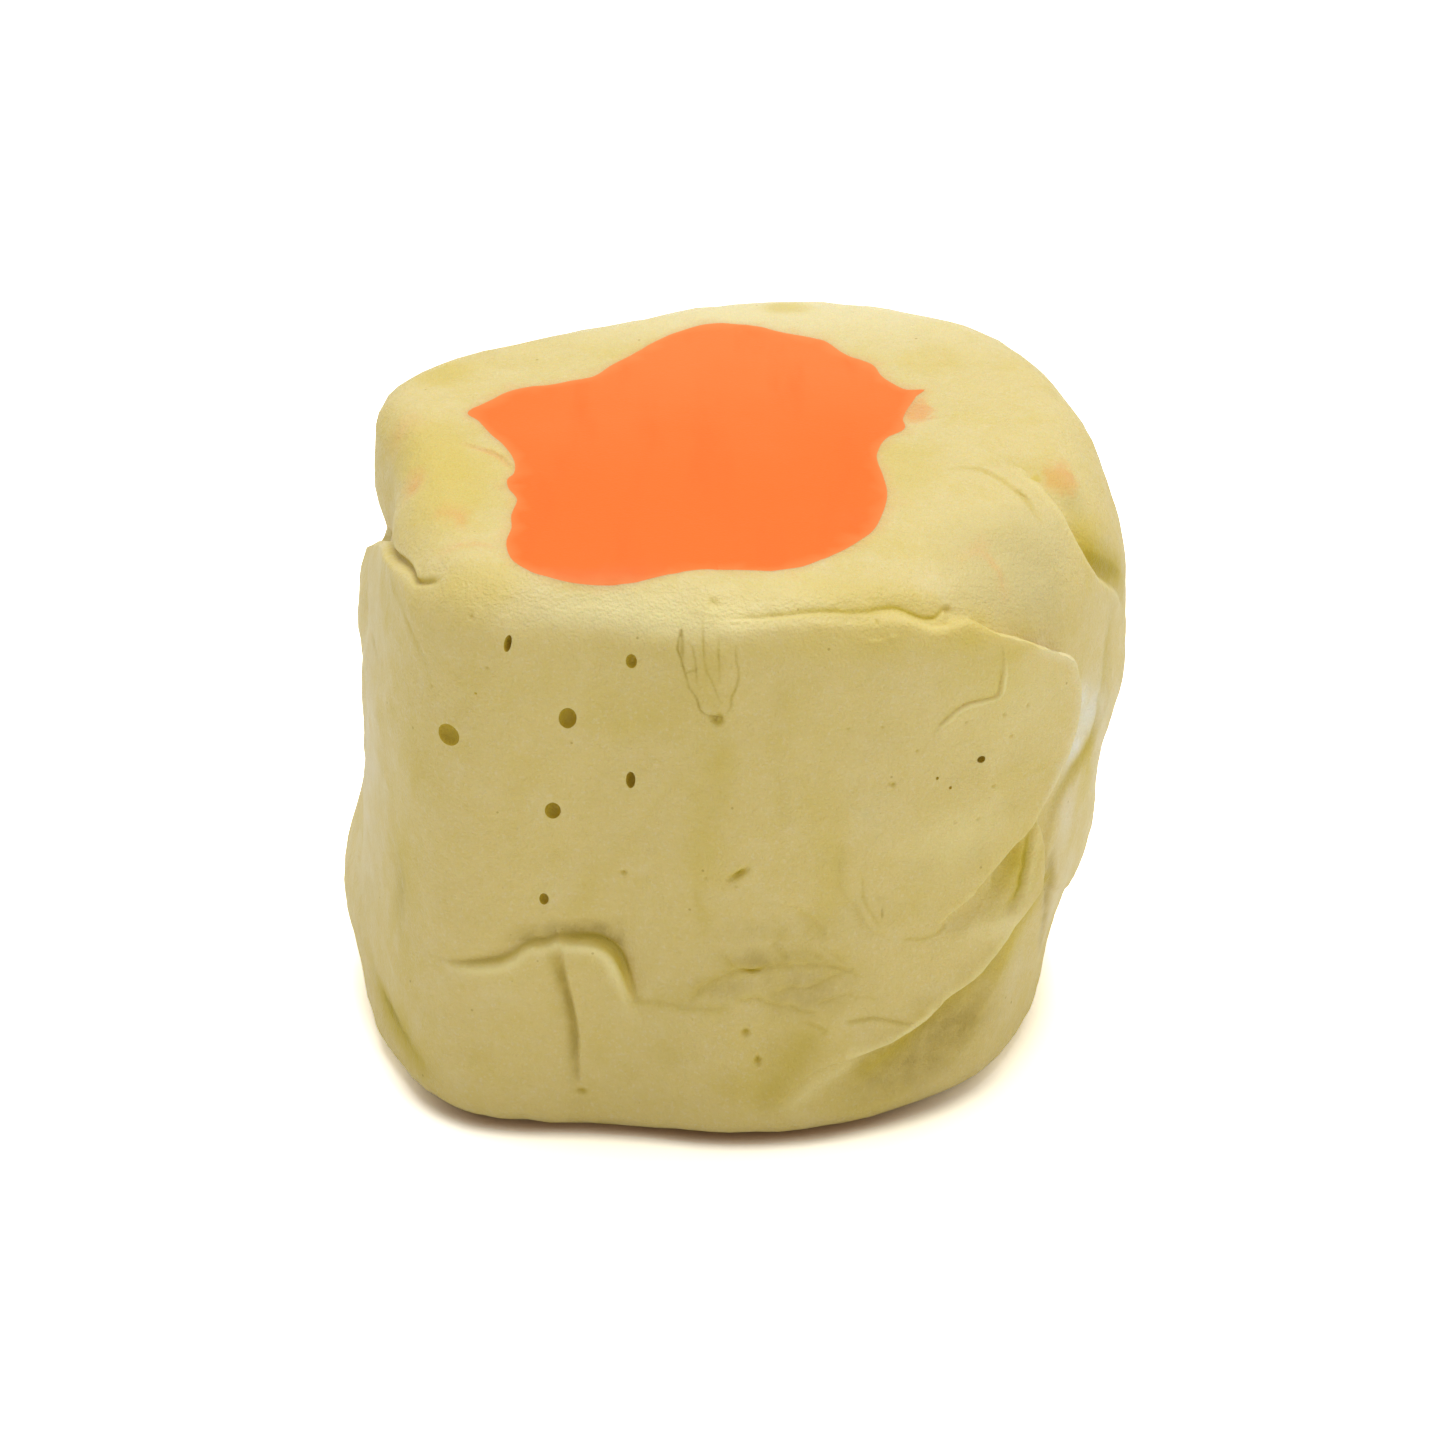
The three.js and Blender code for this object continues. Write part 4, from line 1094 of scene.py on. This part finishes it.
def mixColours(tree, factor, first, second):
    node = addNode(tree, "ShaderNodeMix", {0: factor, 6: first, 7: second}, data_type="RGBA")
    return node.outputs[2]


def combine(tree, operation, first, second):
    return addNode(tree, "ShaderNodeMath", {0: first, 1: second}, operation=operation).outputs[0]


def ramp(tree, value, low, high, first=0.0, second=1.0):
    inputs = {"Value": value, "From Min": low, "From Max": high, "To Min": first, "To Max": second}
    return addNode(tree, "ShaderNodeMapRange", inputs, interpolation_type="SMOOTHSTEP").outputs["Result"]


# A soft ragged spot: 1 inside, 0 outside
def addSpotGroup():
    group = bpy.data.node_groups.new("ragged spot", "ShaderNodeTree")
    for name, kind in (("Vector", "Vector"), ("Centre", "Vector"), ("Size", "Vector"), ("Soft", "Float"),
                       ("Ragged", "Float")):
        group.interface.new_socket(name, in_out="INPUT", socket_type="NodeSocket" + kind)
    group.interface.new_socket("Mask", in_out="OUTPUT", socket_type="NodeSocketFloat")
    start = group.nodes.new("NodeGroupInput").outputs
    vectorMath = "ShaderNodeVectorMath"
    off = addNode(group, vectorMath, {0: start["Vector"], 1: start["Centre"]}, operation="SUBTRACT")
    off = addNode(group, vectorMath, {0: off.outputs[0], 1: start["Size"]}, operation="DIVIDE")
    reach = addNode(group, vectorMath, {0: off.outputs[0]}, operation="LENGTH").outputs["Value"]
    wobble = combine(group, "SUBTRACT", noise(group, start["Vector"], 2.2, 3.0), 0.5)
    wobble = combine(group, "MULTIPLY", wobble, start["Ragged"])
    reach = combine(group, "ADD", reach, wobble)
    inner = combine(group, "SUBTRACT", 1.0, start["Soft"])
    outer = combine(group, "ADD", 1.0, start["Soft"])
    end = group.nodes.new("NodeGroupOutput")
    group.links.new(ramp(group, reach, inner, outer, 1.0, 0.0), end.inputs["Mask"])
    return group


# Fine waxy grain for the bump
def addGrainGroup():
    group = bpy.data.node_groups.new("waxy grain", "ShaderNodeTree")
    group.interface.new_socket("Vector", in_out="INPUT", socket_type="NodeSocketVector")
    group.interface.new_socket("Fine", in_out="INPUT", socket_type="NodeSocketFloat")
    group.interface.new_socket("Height", in_out="OUTPUT", socket_type="NodeSocketFloat")
    start = group.nodes.new("NodeGroupInput").outputs
    broad = noise(group, start["Vector"], 2.6, 2.0)
    fine = noise(group, start["Vector"], 11.0, 3.0)
    height = combine(group, "ADD", broad, combine(group, "MULTIPLY", fine, start["Fine"]))
    end = group.nodes.new("NodeGroupOutput")
    group.links.new(height, end.inputs["Height"])
    return group


spotGroup = addSpotGroup()
grainGroup = addGrainGroup()


def addGroup(tree, group, inputs):
    return addNode(tree, "ShaderNodeGroup", inputs, node_tree=group).outputs[0]


def addBump(tree, vector, shader, bump):
    inputs = {"Height": addGroup(tree, grainGroup, {"Vector": vector, "Fine": bump["fine"]}),
              "Strength": bump["strength"], "Distance": bump["distance"]}
    tree.links.new(addNode(tree, "ShaderNodeBump", inputs).outputs[0], shader.inputs["Normal"])


# Soft spots of one tone, each with its centre, half size and strength
def paintSpots(tree, vector, colour, spots, tone, soft, ragged):
    for centre, size, strength in spots:
        inputs = {"Vector": vector, "Centre": centre, "Size": size, "Soft": soft, "Ragged": ragged}
        mask = addGroup(tree, spotGroup, inputs)
        colour = mixColours(tree, combine(tree, "MULTIPLY", mask, strength), colour, tone)
    return colour


jacketLook = {
    # painted shade: the sides, turned from the overhead light, are a more saturated yellow than the top
    "top": (0.77, 0.63, 0.262, 1),
    "side": (0.78, 0.62, 0.225, 1),
    "yellow": (0.72, 0.56, 0.13, 1),
    # pale mottling, and painted light on lit bulges and edges
    "pale": (0.84, 0.72, 0.42, 1),
    # painted shade in creases, hollows and under the sheets' edges, darker still where deepest, and the dark
    # colour of the specks
    "stain": (0.58, 0.43, 0.012, 1),
    "deepStain": (0.42, 0.31, 0.004, 1),
    # painted highlight on lit ridges, edges and the rim
    "ridge": (0.93, 0.8, 0.36, 1),
    # whitish patches, and a painted highlight along the front rim
    "white": (0.9, 0.86, 0.68, 1),
    "back": (0.93, 0.84, 0.52, 1),
    # painted shade inside the open bubbles
    "pitShade": (0.58, 0.42, 0.04, 1),
    "shade": (0.52, 0.39, 0.11, 1),
    "tint": (0.71, 0.55, 0.1, 1),
    # painted shade where the shoulder falls away from the light
    "facetShade": (0.66, 0.55, 0.24, 1),
    "dirt": (0.36, 0.24, 0.02, 1),
    "orange": (0.84, 0.4, 0.13, 1),
    # how strongly the painted tones cover
    "cover": {"stain": 0.88, "deepStain": 0.5, "ridge": 0.85, "speck": 0.5, "bleed": 0.4},
    "roughness": (0.36, 0.55),
    "bump": {"fine": 0.8, "strength": 0.7, "distance": 0.00008},
    # mottling: noise scale, from, to, strength, which tone
    "mottles": [
        (0.28, 0.5, 0.72, 0.45, "yellow"), (0.5, 0.52, 0.8, 0.2, "pale"), (0.9, 0.48, 0.7, 0.28, "yellow"),
        (1.7, 0.5, 0.75, 0.16, "pale"), (5.0, 0.5, 0.7, 0.16, "yellow"), (9.0, 0.54, 0.7, 0.3, "pale"),
        (7.0, 0.54, 0.7, 0.2, "tint"),
    ],
    # orange smears: centre, half size, strength
    "smears": [
        ((9.43, -1.15, 17.35), (0.45, 0.7, 1), 0.6), ((5.3, 2.1, 17.8), (0.5, 0.75, 1), 0.8),
        ((-9.35, -1.8, 17.8), (0.35, 0.6, 1), 0.2), ((-8.1, -4.3, 17.8), (0.5, 0.6, 1), 0.15),
    ],
    # yellower patches
    "patches": [
        ((-8.6, 4.4, 17.8), (0.9, 0.7, 1), 0.5), ((1.55, 8.7, 17.8), (0.7, 0.4, 1), 0.6),
        ((5.9, 5.5, 17.8), (0.8, 0.9, 1), 0.3), ((-8.2, -2.9, 17.8), (1.3, 2.4, 2), 0.8),
        ((-8.9, -0.2, 17.8), (1.2, 1.6, 2), 0.7), ((10.7, -2.6, 15.6), (0.9, 0.8, 1.6), 0.7),
        ((8.75, -1.35, 17.4), (0.14, 0.2, 0.5), 0.9), ((3.8, -8.6, 17.2), (2.2, 0.8, 1), 0.5),
        ((7.6, -5.7, 17.5), (1.6, 1.4, 1), 0.3), ((5.0, -1.6, 17.8), (0.8, 1.8, 1), 0.5),
        ((-7.4, -8.2, 17.4), (1.2, 0.9, 1), 0.5),
    ],
    # painted shade: greyer patches where the shoulder falls away from the light
    "facetShades": [((7.6, -5.9, 16.9), (1.6, 1.7, 1.5), 0.7), ((8.9, -4.3, 17.2), (1.0, 1.4, 1.5), 0.6),
               ((8.7, -5.8, 16.0), (0.7, 0.9, 1.4), 0.6), ((9.75, -2.0, 17.0), (0.45, 0.5, 0.6), 0.8)],
}


def buildJacketMaterial():
    look = jacketLook
    cover = look["cover"]
    material, tree, shader = addMaterial("waxy lime", IOR=1.45, Specular_IOR_Level=0.3,
                                         Subsurface_Weight=0.25, Subsurface_Radius=(1, 0.7, 0.3),
                                         Subsurface_Scale=0.0005)
    vector = inMillimetres(tree)
    normal = addNode(tree, "ShaderNodeNewGeometry").outputs["Normal"]
    up = addNode(tree, "ShaderNodeSeparateXYZ", {0: normal}).outputs["Z"]
    # painted shade: faces turned from the overhead light get the more saturated side tone, the top the paler
    # one
    facingUp = ramp(tree, up, 0.35, 0.9)
    colour = mixColours(tree, facingUp, look["side"], look["top"])
    for scale, low, high, strength, tone in look["mottles"]:
        clouds = noise(tree, vector, scale, 4.0)
        colour = mixColours(tree, ramp(tree, clouds, low, high, 0.0, strength), colour, look[tone])
    # the top pales towards the back
    depth = addNode(tree, "ShaderNodeSeparateXYZ", {0: vector}).outputs["Y"]
    paler = ramp(tree, depth, 5.0, 10.5, 0.0, 0.8)
    paler = combine(tree, "MULTIPLY", paler, ramp(tree, up, 0.0, 0.5))
    colour = mixColours(tree, paler, colour, look["back"])
    colour = paintSpots(tree, vector, colour, look["patches"], look["yellow"], 0.6, 0.6)
    colour = paintSpots(tree, vector, colour, look["facetShades"], look["facetShade"], 0.8, 0.5)
    # painted light and shade: pale for lit bulges and edges, white for whitish patches and a highlight on the
    # rim, tint for yellower streaks and the pocket's painted shade, shade for painted shadows
    for name, scale in (("pale", 0.8), ("white", None), ("tint", 0.8), ("shade", 2.2)):
        spots = painted(tree, name)
        if scale:
            patchy = noise(tree, vector, scale, 5.0)
            spots = combine(tree, "MULTIPLY", spots, ramp(tree, patchy, 0.3, 0.6, 0.45, 1.0))
        colour = mixColours(tree, spots, colour, look[name])
    colour = paintSpots(tree, vector, colour, look["smears"], look["orange"], 0.5, 1.6)
    smear = painted(tree, "smear")
    colour = mixColours(tree, smear, colour, look["orange"])
    # painted shade: dark yellow in creases, hollows and under the sheets' edges, darkest where deepest, and
    # the dark specks
    stain = painted(tree, "stain")
    colour = mixColours(tree, combine(tree, "MULTIPLY", stain, cover["stain"]), colour, look["stain"])
    deepest = ramp(tree, stain, 0.75, 1.0, 0.0, cover["deepStain"])
    colour = mixColours(tree, deepest, colour, look["deepStain"])
    # painted highlight along lit ridges, sheet edges and the front rim
    ridge = painted(tree, "ridge")
    colour = mixColours(tree, combine(tree, "MULTIPLY", ridge, cover["ridge"]), colour, look["ridge"])
    dirt = painted(tree, "dirt")
    uneven = noise(tree, vector, 3.5, 2.0)
    dirt = combine(tree, "MULTIPLY", dirt, ramp(tree, uneven, 0.35, 0.65, 0.35, 1.0))
    colour = mixColours(tree, dirt, colour, look["dirt"])
    # tiny dark specks here and there
    cells = addNode(tree, "ShaderNodeTexVoronoi", {"Vector": vector, "Scale": 1.1})
    speck = ramp(tree, cells.outputs["Distance"], 0.03, 0.06, 1.0, 0.0)
    chance = addNode(tree, "ShaderNodeSeparateXYZ", {0: cells.outputs["Color"]}).outputs["X"]
    speck = combine(tree, "MULTIPLY", speck, ramp(tree, chance, 0.45, 0.5))
    colour = mixColours(tree, combine(tree, "MULTIPLY", speck, cover["speck"]), colour, look["dirt"])
    bleed = painted(tree, "bleed")
    colour = mixColours(tree, combine(tree, "MULTIPLY", bleed, cover["bleed"]), colour, look["orange"])
    # painted shade inside the open bubbles
    pitShade = painted(tree, "pitShade")
    colour = mixColours(tree, pitShade, colour, look["pitShade"])
    tree.links.new(colour, shader.inputs["Base Color"])
    addBump(tree, vector, shader, look["bump"])
    rough = ramp(tree, noise(tree, vector, 1.2, 3.0), 0.3, 0.7, *look["roughness"])
    tree.links.new(rough, shader.inputs["Roughness"])
    return material


centreLook = {
    "orange": (0.93, 0.172, 0.01, 1),
    "paler": (0.94, 0.215, 0.034, 1),
    "deep": (0.9, 0.16, 0.008, 1),
    "edge": (0.9, 0.36, 0.1, 1),
    "bleed": 0.35,
    "bump": {"fine": 0.6, "strength": 0.3, "distance": 0.00005},
}


def buildCentreMaterial():
    look = centreLook
    material, tree, shader = addMaterial("matt orange", Roughness=0.5, IOR=1.45, Specular_IOR_Level=0.3)
    vector = inMillimetres(tree)
    clouds = noise(tree, vector, 0.25, 3.0)
    depth = addNode(tree, "ShaderNodeSeparateXYZ", {0: vector}).outputs["Y"]
    depth = combine(tree, "ADD", depth, combine(tree, "MULTIPLY", clouds, 8.0))
    colour = mixColours(tree, ramp(tree, depth, 0.0, 13.0), look["orange"], look["paler"])
    drawn = {"Vector": vector, "Rotation": (0, 0, 0.7), "Scale": (0.9, 0.16, 0.9)}
    streaks = addNode(tree, "ShaderNodeMapping", drawn)
    streaks = noise(tree, streaks.outputs[0], 1.0, 5.0)
    colour = mixColours(tree, ramp(tree, streaks, 0.5, 0.75, 0.0, 0.6), colour, look["deep"])
    bleed = painted(tree, "bleed")
    colour = mixColours(tree, combine(tree, "MULTIPLY", bleed, look["bleed"]), colour, look["edge"])
    tree.links.new(colour, shader.inputs["Base Color"])
    addBump(tree, vector, shader, look["bump"])
    return material


for piece, material in ((jacket, buildJacketMaterial()), (centre, buildCentreMaterial())):
    piece.data.materials.clear()
    piece.data.materials.append(material)
print("materials done")

# A plain white floor under soft light from above. It is overexposed, as the photo's is: to the camera alone
# it is brighter than white, and close to the piece it is browner, a painted contact shadow.
floorLook = {
    "plain": (0.93, 0.93, 0.925, 1),
    "seen": (2.1, 2.08, 2.02, 1),
    "shade": (0.5, 0.33, 0.24, 1),
    # how far from the piece the shade reaches, and between which y it fades towards the back, in metres
    "reach": 0.0009,
    "fade": (-0.0095, -0.005),
}
bpy.ops.mesh.primitive_plane_add(size=4, location=(0, 0, 0))
floor = bpy.context.object
floor.name = "floor"
floorMaterial, floorTree, floorShader = addMaterial("white floor", Roughness=0.5, Specular_IOR_Level=0.2)
seen = addNode(floorTree, "ShaderNodeLightPath").outputs["Is Camera Ray"]
nearness = addNode(floorTree, "ShaderNodeAmbientOcclusion", {"Distance": floorLook["reach"]}, samples=6)
place = addNode(floorTree, "ShaderNodeTexCoord").outputs["Object"]
depth = addNode(floorTree, "ShaderNodeSeparateXYZ", {0: place}).outputs["Y"]
shaded = ramp(floorTree, nearness.outputs["AO"], 0.3, 0.85, 1.0, 0.0)
shaded = combine(floorTree, "MULTIPLY", shaded, ramp(floorTree, depth, *floorLook["fade"], 1.0, 0.2))
floorLit = mixColours(floorTree, shaded, floorLook["seen"], floorLook["shade"])
floorColour = mixColours(floorTree, seen, floorLook["plain"], floorLit)
floorTree.links.new(floorColour, floorShader.inputs["Base Color"])
floor.data.materials.append(floorMaterial)

lights = {
    "room": 0.5,
    # where a lamp stands, its size and its power
    "overhead": ((0.02, 0.12, 0.5), 0.45, 1.85),
    "right fill": ((0.38, -0.24, 0.08), 0.4, 0.22),
}
world = bpy.data.worlds.new("soft room")
bpy.context.scene.world = world
world.use_nodes = True
world.node_tree.nodes["Background"].inputs["Color"].default_value = (1, 1, 1, 1)
world.node_tree.nodes["Background"].inputs["Strength"].default_value = lights["room"]
for name in ("overhead", "right fill"):
    place, size, power = lights[name]
    bpy.ops.object.light_add(type="AREA", location=place)
    lamp = bpy.context.object
    lamp.name = name
    lamp.data.shape = "DISK"
    lamp.data.size = size
    lamp.data.energy = power
    lamp.rotation_euler = (Vector((0, 0, 0.01)) - lamp.location).to_track_quat("-Z", "Y").to_euler()

# The photo's viewpoint: 29 degrees above level from the front, with a long lens
view = {"above": 29, "distance": 0.28, "pixelsPerMm": 33.8, "pixels": 1445, "centre": (738, 716)}
above = math.radians(view["above"])
right = Vector((1, 0, 0))
up = Vector((0, math.sin(above), math.cos(above)))
back = Vector((0, -math.cos(above), math.sin(above)))
aim = Vector((-form["middle"][0], -form["middle"][1], form["height"] / 2)) * mm
aim += right * ((view["pixels"] / 2 - view["centre"][0]) / view["pixelsPerMm"] * mm)
aim -= up * ((view["pixels"] / 2 - view["centre"][1]) / view["pixelsPerMm"] * mm)
bpy.ops.object.camera_add()
camera = bpy.context.object
turned = Matrix((right, up, back)).transposed().to_4x4()
camera.matrix_world = Matrix.Translation(aim + back * view["distance"]) @ turned
camera.data.sensor_width = 36
camera.data.lens = 36 * view["pixelsPerMm"] * view["distance"] / mm / view["pixels"]
camera.data.clip_start = 0.01
bpy.context.scene.camera = camera
bpy.context.scene.view_settings.view_transform = "Standard"
